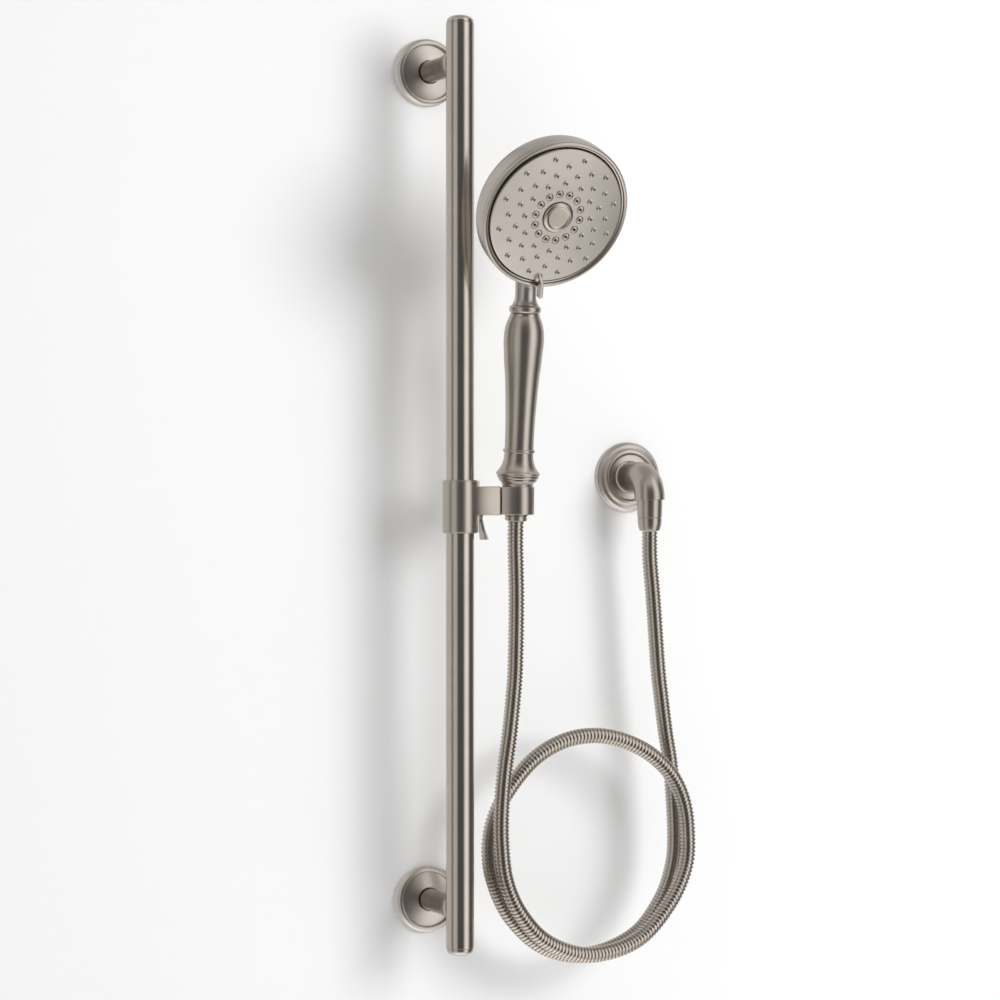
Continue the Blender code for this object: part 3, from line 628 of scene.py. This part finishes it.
def show(item, body, slot, node, sharp=SHARP_ANGLE):
    """Gives a piece its finish, smooth shading and its body, and hides the CAD node that it stands for.
    """
    mesh = item.data
    cage = bmesh.new()
    cage.from_mesh(mesh)
    bmesh.ops.remove_doubles(cage, verts=cage.verts, dist=MERGE)
    bmesh.ops.dissolve_degenerate(cage, edges=cage.edges, dist=SHORTEST_EDGE)
    cage.to_mesh(mesh)
    cage.free()
    mesh.materials.clear()
    mesh.materials.append(MATERIALS[slot])
    for face in mesh.polygons:
        face.use_smooth = True
        face.material_index = 0
    mesh.set_sharp_from_angle(angle=sharp)
    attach(item, body)
    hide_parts(node)


# ---------------------------------------------------------------- hose

def even_route(points, spacing):
    """Evenly spaced points along the smooth curve through a route, and its length."""
    fine = [Vector(point) for point in catmull(points, 24)]
    travelled = [0.0]
    for start, end in zip(fine, fine[1:]):
        travelled.append(travelled[-1] + (end - start).length)
    count = round(travelled[-1] / spacing)
    result = []
    index = 0
    for step in range(count + 1):
        target = travelled[-1] * step / count
        while index < len(fine) - 2 and travelled[index + 1] < target:
            index += 1
        share = (target - travelled[index]) / (travelled[index + 1] - travelled[index])
        result.append(fine[index].lerp(fine[index + 1], min(share, 1)))
    return result, travelled[-1]


def ease(share):
    """A share held between 0 and 1 and eased at both ends."""
    t = min(1.0, max(0.0, share))
    return t * t * (3 - 2 * t)


def make_hose():
    """A ribbed metal hose, held at the elbow. It rises with the slider, less and less toward the
    elbow, and the length nearest the handset follows the hose's nut there."""
    middle, length = even_route(HOSE_ROUTE, HOSE_PITCH)
    spots = []
    radii = []
    for start, end in zip(middle, middle[1:]):
        for share, radius in HOSE_RIB:
            spots.append(start.lerp(end, share))
            radii.append(radius)
    spots.append(middle[-1])
    radii.append(HOSE_RIB[0][1])
    hose = sweep("hose_ribbed", spots, radii, HOSE_SIDES)
    show(hose, "wall_bar", "hose_metal", "hose", HOSE_SHARP_ANGLE)
    rise = hose.vertex_groups.new(name="rise_with_slider")
    follow = hose.vertex_groups.new(name="follow_handset")
    last = len(spots) - 1
    for index in range(len(spots)):
        overall = ease(1 - index / last)
        near_handset = ease(1 - length * index / last / HOSE_BEND_LENGTH)
        ring = range(index * HOSE_SIDES, (index + 1) * HOSE_SIDES)
        follow.add(ring, near_handset, "REPLACE")
        rise.add(ring, max(0.0, overall - near_handset), "REPLACE")
    for group, body in ((rise, "slider_sleeve"), (follow, "hose_swivel")):
        hook = hose.modifiers.new(group.name, "HOOK")
        hook.object = frame["bodies"][body]
        hook.vertex_group = group.name
        hook.falloff_type = "NONE"
        hook.strength = 1.0
        hook.matrix_inverse = Matrix.Identity(4)


# ---------------------------------------------------------------- bar and posts

# Outlines of turned pieces, here and below, are (radius, height along their axis) in mm
CAP_DOME = ((12.1, 1.9), (11.5, 3.5), (9.6, 5.3), (6.4, 6.6), (3.0, 7.2), (0.0, 7.3))
CAP_PLUG = ((0, -1), (9.2, -1), (9.2, -9), (11.1, -9), (11.1, 0.3), (12.1, 0.3))


def make_bar():
    tube = turned("bar", [
        (BAR_R, BAR_BOTTOM), (BAR_R, BAR_TOP), (BAR_BORE_R, BAR_TOP), (BAR_BORE_R, BAR_BOTTOM)],
        BAR_FRAME, FINE_SIDES, 0.5)
    show(tube, "wall_bar", "bar_nickel", "bar_tube")
    outline = catmull(CAP_DOME) + list(CAP_PLUG)
    for side, end, turn in (("lower", BAR_BOTTOM, 180), ("upper", BAR_TOP, 0)):
        cap = turned(f"bar_end_cap_{side}", outline, frame_at(0, BAR_Y, end, (turn, 0, 0)), radius=0.3)
        show(cap, "wall_bar", "bar_nickel", f"bar_cap_{side}")


# Clearance between a post's hollowed end and the bar
SADDLE_GAP = 0.3
STEM_SIDE = ((12.2, 73.0), (12.0, 68.0), (11.3, 60.0), (10.5, 52.0), (10.1, 44.0), (10.0, 36.0),
             (10.0, 28.0))
STEM_FOOT = ((10.0, 5.2), (7.6, 5.2), (7.6, 30.0), (0, 30.0), (0, 73.0))
COVER_FACE = ((10.7, 8.0), (11.2, 8.3), (17.5, 7.2), (24.3, 5.8))
COVER_RIM = ((24.9, 5.6), (25.3, 6.8), (26.2, 7.6), (27.4, 7.8), (28.8, 7.3), (30.2, 5.9),
             (31.0, 3.8), (31.3, 1.6))
COVER_BACK = ((31.3, 0.3), (29.4, 0.3), (28.6, 4.2), (10.7, 4.8))


def make_post(side, height):
    """A wall post whose stem is hollowed to fit the bar, and the round cover at its foot."""
    out = wall_frame(0, height)
    stem = turned(f"post_{side}", catmull(STEM_SIDE) + list(STEM_FOOT), out, radius=0.4)
    cut(stem, rod("saddle", BAR_R + SADDLE_GAP, height - 20, height + 20, BAR_FRAME, FINE_SIDES))
    show(stem, "wall_bar", "bar_nickel", f"post_stem_{side}")
    outline = list(COVER_FACE) + catmull(COVER_RIM) + list(COVER_BACK)
    cover = turned(f"post_cover_{side}", outline, out, FINE_SIDES, 0.25)
    show(cover, "wall_bar", "cover_nickel", f"flange_cover_{side}")


# ---------------------------------------------------------------- supply elbow

ESCUTCHEON = ((15.3, 7.2), (18.0, 7.2), (21.0, 7.5), (22.4, 8.6), (24.0, 9.2), (25.6, 8.7),
              (26.8, 7.2), (27.6, 6.3), (28.4, 6.4), (29.4, 6.7), (30.4, 6.4), (31.2, 5.2),
              (31.9, 4.2), (32.8, 3.4), (33.2, 2.2))
ESCUTCHEON_BACK = ((33.2, 0.3), (31.2, 0.3), (29.0, 3.6), (15.3, 4.2))
# The rounded lip at the elbow's outlet: (drop below the bend, how far it draws in)
ELBOW_LIP = ((0.6, 0), (1.0, 0), (1.35, 0.15), (1.6, 0.6))
ELBOW_STEPS = 16
ELBOW_NUT = (
    (10.5, 369.0), (12.0, 369.0), (11.8, 360.0), (11.5, 351.7), (11.0, 351.3), (11.0, 350.9),
    (11.4, 350.5), (11.2, 347.0), (10.8, 344.0), (10.2, 341.4), (9.2, 339.0), (8.4, 338.8),
    (7.3, 338.8), (7.3, 348.0), (10.5, 349.5))


def elbow_path():
    """The elbow's centre line in metres: out of the wall, round a quarter bend and down."""
    spots = [(0, 0), (-10, 0), (-20, 0)]
    for step in range(ELBOW_STEPS + 1):
        angle = math.radians(90 + 90 * step / ELBOW_STEPS)
        spots.append((ELBOW_Y + ELBOW_BEND_R + ELBOW_BEND_R * math.cos(angle),
                      ELBOW_BEND_R * math.sin(angle) - ELBOW_BEND_R))
    return [Vector((ELBOW_X, y, ELBOW_Z + z)) * MM for y, z in spots]


def make_elbow():
    path = elbow_path()
    lip = [path[-1] + Vector((0, 0, -drop)) * MM for drop, inward in ELBOW_LIP]
    radii = [ELBOW_R] * len(path) + [ELBOW_R - inward for drop, inward in ELBOW_LIP]
    body = sweep("elbow", path + lip, radii, 96)
    join(body, rod("spigot", 10.0, 356, ELBOW_Z - 18, OUTLET_FRAME))
    bore = [Vector((ELBOW_X, 4, ELBOW_Z)) * MM] + path[1:]
    bore.append(Vector((ELBOW_X, ELBOW_Y, ELBOW_Z - 40)) * MM)
    cut(body, sweep("bore", bore, [ELBOW_BORE_R] * len(bore), 48))
    show(body, "wall_bar", "plated_nickel", "elbow_body")
    outline = catmull(ESCUTCHEON, 3) + list(ESCUTCHEON_BACK)
    cover = turned("elbow_cover", outline, wall_frame(ELBOW_X, ELBOW_Z), FINE_SIDES, 0.3)
    show(cover, "wall_bar", "cover_nickel", "elbow_escutcheon")
    nut = turned("elbow_nut", list(ELBOW_NUT), OUTLET_FRAME, radius=0.25)
    show(nut, "wall_bar", "plated_nickel", "elbow_hose_nut")


# ---------------------------------------------------------------- slider, lever and holder

# Half of the arm and of the holder's neck seen from above: (X, distance from the bar's plane)
ARM_SIDE = ((4.0, 15.0), (8.0, 13.9), (10.0, 12.9), (13.0, 11.75), (17.0, 10.55), (22.0, 9.4),
            (27.0, 8.55), (32.0, 7.9), (37.0, 7.4))
NECK_SIDE = ((38.2, 6.45), (41.0, 8.9), (44.0, 11.15), (47.0, 13.06))
# The spine and the lever's slot seen from above: (nearest X, farthest X, half their depth)
SPINE = (8, 17.4, 4.6)
SLOT = (18.0, 29.5, 7.4)
SLOT_BOTTOM = 340
SLOT_TOP = 365.2
# Radii of the collar's end lips and of the ways for the bar, the lever's pin, the tilt stud and
# the brake shoe
COLLAR_LIP_R = 15.3
BAR_WAY_R = 14.5
PIN_WAY_R = 1.7
STUD_WAY_R = 4.3
SHOE_WAY_R = 3.3
COLLAR_SIDE = (
    (BAR_WAY_R, COLLAR_TOP), (COLLAR_LIP_R, COLLAR_TOP), (COLLAR_LIP_R, COLLAR_TOP - 0.9),
    (COLLAR_R, COLLAR_TOP - 1.2), (COLLAR_R, COLLAR_BOTTOM + 1.2),
    (COLLAR_LIP_R, COLLAR_BOTTOM + 0.9), (COLLAR_LIP_R, COLLAR_BOTTOM), (BAR_WAY_R, COLLAR_BOTTOM))
LEVER_PIN_SIDE = ((0, 8.2), (1.5, 8.2), (1.5, -8.2), (0, -8.2))
WASHER = ((4.4, 37.2), (6.0, 37.2), (6.0, 38.0), (4.4, 38.0))


def block_outline(near, far, half_depth):
    """A rectangle seen from above, centred on the bar's plane."""
    front = BAR_Y - half_depth
    back = BAR_Y + half_depth
    return [(near, front), (far, front), (far, back), (near, back)]


def make_arm():
    """The waisted arm that carries the holder, with a spine up and down the collar."""
    side = catmull(ARM_SIDE, 3)
    outline = [(x, BAR_Y - y) for x, y in side] + [(x, BAR_Y + y) for x, y in side[::-1]]
    arm = prism("arm", outline, ARM_Z - ARM_HALF_HEIGHT, ARM_Z + ARM_HALF_HEIGHT, bevel=0.9)
    low = COLLAR_BOTTOM + 0.6
    high = COLLAR_TOP - 0.6
    join(arm, prism("spine", block_outline(*SPINE), low, high, bevel=0.7))
    cut(arm, rod("bar_way", BAR_WAY_R, 300, 420, BAR_FRAME, FINE_SIDES))
    return arm


def make_slider():
    """The collar and arm in one piece, the lever's pin and the washer behind the holder."""
    collar = turned("collar", COLLAR_SIDE, BAR_FRAME, FINE_SIDES, 0.3)
    join(collar, make_arm())
    cut(collar, prism("slot", block_outline(*SLOT), SLOT_BOTTOM, SLOT_TOP))
    cut(collar, rod("pin_way", PIN_WAY_R, -8.4, 8.4, LEVER_FRAME, 24))
    cut(collar, rod("stud_way", STUD_WAY_R, 25.5, 40, ARM_FRAME))
    cut(collar, rod("shoe_way", SHOE_WAY_R, 12, 18.5, SHOE_FRAME))
    show(collar, "slider", "plated_nickel", "slider_collar")
    pin = turned("lever_hinge_pin", LEVER_PIN_SIDE, LEVER_FRAME, 32, 0.2)
    show(pin, "slider", "zinc_steel", "lever_pin")
    washer = turned("tilt_washer", WASHER, ARM_FRAME, 64, 0.1)
    show(washer, "slider", "seal_rubber", "pivot_washer")


# The lever seen along its pin, in mm from the pin: its eye, and its blade's two sides
LEVER_EYE_R = 3.3
LEVER_FRONT = ((3.0, -1.4), (0.4, -5.0), (-1.0, -8.0), (-0.5, -13.0), (0.8, -20.4), (3.0, -28.2))
LEVER_BACK = ((0.0, -28.8), (-1.5, -21.0), (-2.5, -14.0), (-2.8, -8.0), (-2.8, -2.0))
# The blade's width as a share of its eye's, by height below the pin
LEVER_WIDTHS = ((-3.0, 1.0), (-6.0, 0.36), (-9.0, 0.36), (-16.0, 0.52), (-23.0, 0.85), (-29.0, 1.12))
LEVER_WAY_R = 1.8
# The spring between the collar and the lever: where it starts and ends along X, and its height
SPRING_ENDS = (17.2, 19.3)
SPRING_Z = 349
SPRING_R = 1.5
SPRING_WIRE_R = 0.28
SPRING_TURNS = 3
SPRING_STEPS = 12


def share_at(table, height):
    """Straight-line value of a (height, share) table that runs downward."""
    if height >= table[0][0]:
        return table[0][1]
    for (top, first), (bottom, second) in zip(table, table[1:]):
        if height >= bottom:
            return first + (second - first) * (top - height) / (top - bottom)
    return table[-1][1]


def make_lever():
    """The squeeze lever: a full-width eye, and a blade that narrows and then fans out at its foot."""
    turns = [math.radians(angle) for angle in range(-20, 201, 10)]
    eye = [(LEVER_EYE_R * math.cos(turn), LEVER_EYE_R * math.sin(turn)) for turn in turns]
    outline = eye + catmull(LEVER_BACK[::-1], 3) + catmull(LEVER_FRONT[::-1], 3)
    lever = prism("release_lever", outline, -LEVER_HALF_WIDTH, LEVER_HALF_WIDTH, LEVER_FRAME)
    for vertex in lever.data.vertices:
        share = share_at(LEVER_WIDTHS, vertex.co.z / MM - LEVER_PIN[1])
        vertex.co.y = BAR_Y * MM + (vertex.co.y - BAR_Y * MM) * share
    soften_edges(lever, 0.4)
    cut(lever, rod("pin_way", LEVER_WAY_R, -12, 12, LEVER_FRAME, 32))
    show(lever, "lever", "plated_nickel", "lever")


def make_spring():
    coil = []
    count = SPRING_TURNS * SPRING_STEPS
    for step in range(count + 1):
        angle = FULL_TURN * step / SPRING_STEPS
        along = SPRING_ENDS[0] + (SPRING_ENDS[1] - SPRING_ENDS[0]) * step / count
        coil.append(Vector((along, BAR_Y + SPRING_R * math.cos(angle),
                            SPRING_Z + SPRING_R * math.sin(angle))) * MM)
    spring = sweep("release_spring", coil, [SPRING_WIRE_R] * len(coil), 10)
    show(spring, "slider", "zinc_steel", "lever_spring")


# The holder's neck meets its ring this many degrees toward the bar from the ring's front and back
NECK_TANGENT = 28.0
RING_STEPS = 60
CRADLE_BORE = ((0, 20), (14.25, 20), (14.1, 12.0), (12.7, -12.2), (12.7, -20), (0, -20))
HOSE_NUT = ((4.0, 4.5), (8.8, 4.5), (8.8, -13.2), (10.0, -13.4), (10.0, -17.4), (9.7, -17.9),
            (7.0, -17.9), (7.0, -10.0), (4.0, -9.0))


def make_cradle():
    """The holder: a ring on a waisted neck, bored to the handset's cone."""
    front = [(x, -y) for x, y in catmull(NECK_SIDE, 3)]
    arc = []
    for step in range(RING_STEPS + 1):
        angle = math.radians(-NECK_TANGENT + (180 + 2 * NECK_TANGENT) * step / RING_STEPS)
        arc.append((CRADLE_X + CRADLE_R * math.sin(angle), -CRADLE_R * math.cos(angle)))
    back = [(x, -y) for x, y in front[::-1]]
    outline = [(x, BAR_Y + y) for x, y in front[:-1] + arc + back[1:]]
    low = ARM_Z - CRADLE_HALF_HEIGHT
    high = ARM_Z + CRADLE_HALF_HEIGHT
    holder = prism("holder", outline, low, high, bevel=0.7)
    cut(holder, turned("bore", CRADLE_BORE, HANDSET_FRAME, SIDES, 0))
    cut(holder, rod("stud_way", STUD_WAY_R, 30, 40.2, ARM_FRAME))
    show(holder, "cradle", "plated_nickel", "cradle")


def make_hose_nut():
    nut = turned("hose_nut", HOSE_NUT, HANDSET_FRAME, SIDES, 0.3)
    show(nut, "hose_swivel", "plated_nickel", "hose_nut_handset")


# ---------------------------------------------------------------- handset

HANDLE_BODY = (
    (13.0, 170.0), (13.6, 167.8), (14.6, 165.6), (15.9, 162.2), (17.0, 158.6), (17.7, 155.0),
    (18.1, 151.0), (18.25, 146.5), (18.1, 141.0), (17.6, 135.2), (16.8, 124.3), (15.7, 113.5),
    (14.9, 102.6), (14.3, 91.8), (13.7, 80.0), (13.3, 68.0), (13.1, 57.0), (13.1, 48.0))
HANDLE_BEAD = ((13.15, 47.2), (13.9, 47.0), (14.35, 46.3), (14.35, 45.0), (13.9, 44.3), (13.15, 44.1))
HANDLE_FLARE = (
    (13.1, 43.0), (13.2, 40.0), (13.7, 37.0), (14.7, 33.8), (16.0, 30.8), (17.6, 28.2),
    (19.1, 26.4), (19.9, 25.2), (19.9, 24.4), (19.2, 23.7))
HANDLE_STEPS = (
    (18.4, 23.4), (18.9, 22.8), (18.9, 21.8), (18.3, 21.0), (17.2, 20.7), (17.6, 20.1),
    (17.4, 19.0), (16.2, 17.6), (14.6, 16.2), (13.9, 13.2), (12.7, 11.6), (11.3, -12.9))
HANDLE_BORE = (
    (9.3, -12.9), (9.3, 14.0), (10.9, 22.0), (10.9, 70.0), (15.2, 142.0), (11.0, 166.0),
    (7.6, 167.0), (7.6, 170.0))
NECK_RING = ((12.6, 177.0), (13.6, 176.3), (14.2, 175.1), (14.4, 173.6), (14.2, 172.1), (13.6, 171.0),
             (12.8, 170.3))
NECK_RING_INSIDE = ((8.0, 170.3), (8.0, 177.0))


def make_handle():
    outer = (catmull(HANDLE_BODY) + catmull(HANDLE_BEAD) + catmull(HANDLE_FLARE)
             + list(HANDLE_STEPS))
    handle = turned("handle", outer + list(HANDLE_BORE), HANDSET_FRAME, FINE_SIDES, 0.25)
    show(handle, "handset", "plated_nickel", "handle_shell")
    outline = catmull(NECK_RING) + list(NECK_RING_INSIDE)
    collar = turned("neck_ring", outline, HANDSET_FRAME, SIDES, 0.2)
    show(collar, "handset", "plated_nickel", "neck_collar")


# The head's neck in the handset's frame: (Y, Z) along its middle, and its radius at each
NECK_PATH = ((0, 177.3), (0, 179.0), (0, 181.0), (0, 184.0), (0, 190.0), (0, 196.0), (-3.5, 208.0),
             (-12.0, 219.0), (-24.0, 227.0), (-36.0, 233.0), (-42.0, 235.6))
NECK_R = (12.2, 11.4, 10.4, 9.7, 9.6, 9.8, 11.0, 12.6, 14.0, 17.5, 21.0)
NECK_BORE_R = 6.6
NECK_BORE_START = 172
BOWL = ((68.9, -8.0), (69.4, -9.0), (69.4, -13.0), (69.2, -18.0), (68.4, -23.4), (66.2, -27.8),
        (62.4, -31.3), (56.8, -34.6), (50.0, -37.3), (40.0, -40.0), (30.0, -41.8), (15.0, -42.9),
        (0.0, -43.2))
CAVITY = ((0, -40.0), (22.0, -39.4), (40.0, -37.0), (54.0, -32.4), (62.6, -27.4), (66.6, -22.0),
          (66.6, -8.0))
# The neck ends inside the bowl's wall, this far outward and back from the cavity's surface
WALL_OUT = 1.2
WALL_BACK = 1.5
# In front of the whole head
CLEAR = 40
RIM_BEAD = ((66.05, -4.4), (66.4, -3.6), (67.3, -3.0), (68.3, -2.9), (69.1, -3.5), (69.5, -4.6),
            (69.5, -5.8), (69.4, -7.2))
RIM_BACK = ((68.9, -7.7), (66.05, -7.7))
INNER_TRIM = ((65.8, -12.0), (65.8, -4.5), (64.5, -5.0), (64.5, -12.0))


def make_head():
    """The bowl behind the spray face, with its hollow neck joined on."""
    bowl = turned("head", list(CAVITY) + catmull(BOWL, 3), FACE_FRAME, FINE_SIDES, 0.3)
    steps = catmull([(y, z, r) for (y, z), r in zip(NECK_PATH, NECK_R)], 5)
    spots = [HANDSET_FRAME @ (Vector((0, y, z)) * MM) for y, z, r in steps]
    neck = sweep("neck", spots, [r for y, z, r in steps], 64)
    middle = [(r + WALL_OUT if r else 0, z - WALL_BACK) for r, z in CAVITY[::-1]]
    middle[0] = (middle[0][0], CLEAR)
    cut(neck, turned("inside", [(0, CLEAR)] + middle, FACE_FRAME, FINE_SIDES, 0))
    join(bowl, neck)
    bore = [HANDSET_FRAME @ (Vector((0, 0, NECK_BORE_START)) * MM)] + spots[4:]
    cut(bowl, sweep("bore", bore, [NECK_BORE_R] * len(bore), 32))
    show(bowl, "handset", "face_nickel", "head_shell")


def make_rims():
    rim = turned("rim", catmull(RIM_BEAD, 3) + list(RIM_BACK), FACE_FRAME, FINE_SIDES, 0.2)
    show(rim, "handset", "plated_nickel", "rim_ring")
    inner = turned("inner_trim", INNER_TRIM, FACE_FRAME, FINE_SIDES, 0.2)
    show(inner, "handset", "plated_nickel", "trim_ring")


# ---------------------------------------------------------------- spray face

# The plate is flat to this radius and then domes back
DOME_START_R = 28.4
DOME_REACH = 31.6
DOME_DROP = 2.5
PLATE_RADII = (14.7, 28.4, 32.0, 36.5, 41.0, 45.0, 49.0, 52.5, 56.0, 58.8, 61.0, 62.4)
PLATE_BACK = ((63.1, -3.4), (63.4, -4.4), (63.4, -8.4), (62.0, -8.4), (61.6, -5.2), (28.4, -2.7),
              (14.7, -2.7))
PLATE_SIDES = 120
# In radians. It keeps the plate's facets off the sprays' centre lines, so that cuts are clean.
PLATE_TURN = 0.011
# The small sprays' dishes and rubber tips, and the centre sprays' wells, tips and holes: heights
# are from the plate's surface
DISH = ((0, 1.0), (3.4, 1.0), (2.85, 0.03), (2.6, -0.18), (2.2, -0.48), (1.75, -0.75),
        (1.35, -0.92), (1.3, -9.0), (0, -9.0))
NUB = ((0, -0.95), (0.5, -0.97), (0.9, -1.1), (1.1, -1.4), (1.15, -1.9), (1.15, -6.3), (0, -6.3))
WELL = ((0, 1.0), (3.9, 1.0), (3.62, 0.0), (3.48, -0.3), (3.48, -9.0), (0, -9.0))
TIP = ((0, -0.1), (1.5, -0.08), (1.85, 0.2), (2.2, 0.34), (2.7, 0.3), (3.1, 0.05), (3.22, -0.4),
       (3.22, -4.0), (0, -4.0))
HOLE = ((0, 2.0), (1.2, 2.0), (1.2, -12.0), (0, -12.0))
MAT = ((27.2, -6.0), (61.0, -6.0), (61.0, -8.4), (27.2, -8.4))
CENTRE_RING = ((18.0, -3.2), (26.4, -3.2), (26.4, -8.4), (18.0, -8.4))
HUB_DOME = ((2.5, 0.95), (5.0, 1.0), (8.0, 1.1), (9.6, 1.3), (10.4, 1.8), (10.9, 2.5))
HUB_RIM = ((11.5, 2.7), (13.5, 1.8), (14.15, 0.9), (14.2, -5.0), (0, -5.0))


def spray_places():
    """Places of the small sprays: rings of twelve, each turned half a step."""
    step = FULL_TURN / SPRAYS_PER_RING
    places = []
    for number, radius in enumerate(SPRAY_RINGS):
        for index in range(SPRAYS_PER_RING):
            angle = step * (index + 0.5 * (number % 2))
            places.append((radius * math.cos(angle), radius * math.sin(angle)))
    return places


def centre_places():
    places = []
    for index in range(CENTRE_SPRAYS):
        angle = math.radians(CENTRE_RING_START) + FULL_TURN * index / CENTRE_SPRAYS
        places.append((CENTRE_RING_R * math.cos(angle), CENTRE_RING_R * math.sin(angle)))
    return places


def plate_height(radius):
    """Height of the face plate's gently domed surface at a radius."""
    return -0.1 - DOME_DROP * max(0.0, (radius - DOME_START_R) / DOME_REACH) ** 1.5


def dotted(name, places, outline, sides):
    """The same small turned shape at each place on the plate's surface, as one mesh."""
    items = []
    for x, y in places:
        height = plate_height(math.hypot(x, y))
        place = FACE_FRAME @ Matrix.Translation(Vector((x, y, height)) * MM)
        items.append(turned(f"{name}_part", outline, place, sides, 0))
    return merged(name, items)


def make_plate():
    """The face plate with its dishes and wells, and the thumb tab that turns it."""
    outline = [(radius, plate_height(radius)) for radius in PLATE_RADII] + list(PLATE_BACK)
    turn = Matrix.Rotation(PLATE_TURN, 4, "Z")
    plate = turned("face", outline, FACE_FRAME @ turn, PLATE_SIDES, 0.2)
    cut(plate, dotted("dishes", spray_places(), DISH, 16))
    cut(plate, dotted("wells", centre_places(), WELL, 24))
    join(plate, make_tab())
    show(plate, "spray_face", "face_nickel", "face_plate", PLATE_SHARP_ANGLE)


def make_sprays():
    """The rubber mat behind the dishes, and the ring of centre sprays in their wells."""
    mat = turned("spray_mat", MAT, FACE_FRAME, SIDES, 0.2)
    join(mat, dotted("nubs", spray_places(), NUB, 12))
    show(mat, "spray_face", "nozzle_rubber", "nozzle_mat")
    centre = turned("centre_sprays", CENTRE_RING, FACE_FRAME, SIDES, 0.2)
    join(centre, dotted("tips", centre_places(), TIP, 24))
    cut(centre, dotted("holes", centre_places(), HOLE, 12))
    show(centre, "spray_face", "plated_nickel", "centre_nozzle_ring")


def make_hub():
    outline = [(0, 0.9)] + catmull(HUB_DOME, 3) + list(HUB_RIM)
    hub = turned("hub", outline, FACE_FRAME, SIDES, 0.25)
    show(hub, "spray_face", "plated_nickel", "hub_cap")


TAB = ((53.0, -3.0), (56.0, -1.2), (58.5, 1.0), (61.0, 3.6), (63.0, 5.1), (65.0, 5.6), (75.6, 5.6),
       (77.0, 4.6), (77.0, -1.2), (66.5, -1.9), (63.0, -3.6), (58.0, -3.6))
TAB_TIP = 77.0
TAB_SLANT = 9.0
TAB_HALF_WIDTH = 1.6
# The mound that the tab grows from, in the face's frame
ROOT_PLACE = (-3.4, -59.6, -3.2)
ROOT_STRETCH = (0.75, 0.95, 1.25, 1)


def make_tab():
    """The thumb tab: a fin that grows from the lower edge of the face and overhangs the rim."""
    turn = Euler((math.radians(90), 0, math.radians(-90)), "XYZ").to_matrix().to_4x4()
    tip = Matrix.Translation(Vector((0, -TAB_TIP, 0)) * MM)
    slant = tip @ Matrix.Rotation(math.radians(TAB_SLANT), 4, "Z") @ tip.inverted()
    fin = prism("fin", TAB, -TAB_HALF_WIDTH, TAB_HALF_WIDTH, FACE_FRAME @ slant @ turn, 0.5)
    root = []
    for step in range(13):
        angle = math.pi * step / 12
        root.append((5.2 * math.sin(angle), 3.0 * math.cos(angle)))
    place = FACE_FRAME @ Matrix.Translation(Vector(ROOT_PLACE) * MM)
    join(fin, turned("root", root, place @ Matrix.Diagonal(ROOT_STRETCH), 48, 0))
    return fin


# ---------------------------------------------------------------- kept CAD nodes

KEPT = {
    "zinc_steel": ("pivot_stud", "detent_pin", "face_screw", "grub_screw_lower", "grub_screw_upper",
                   "wall_plate_lower", "wall_plate_upper", "wall_screw_lower_1",
                   "wall_screw_lower_2", "wall_screw_upper_1", "wall_screw_upper_2"),
    "brass": ("hose_tail_handset", "hose_tail_supply"),
    "seal_rubber": ("port_seal", "screen_washer", "swivel_seal", "brake_shoe", "elbow_washer"),
    "dark_plastic": ("cradle_liner", "flow_restrictor", "port_plate", "waterway_socket",
                     "face_carrier", "elbow_check_valve"),
    "pale_plastic": ("chamber_liner", "inner_waterway", "slider_bushing", "diverter_disc",
                     "bar_insert_lower", "bar_insert_upper"),
}


def finish_kept_nodes():
    """Gives the hidden CAD nodes that are kept as they are their finishes."""
    for slot, names in KEPT.items():
        for name in names:
            mesh = frame["nodes"][name].data
            mesh.materials.clear()
            mesh.materials.append(MATERIALS[slot])


MATERIALS = make_materials()
make_camera()
bpy.context.scene.view_settings.view_transform = "Standard"
make_stage()
make_world()
make_lamp()
make_bar()
for post_side, post_height in POSTS.items():
    make_post(post_side, post_height)
make_elbow()
make_slider()
make_lever()
make_spring()
make_cradle()
make_hose_nut()
make_hose()
make_handle()
make_head()
make_rims()
make_plate()
make_sprays()
make_hub()
finish_kept_nodes()
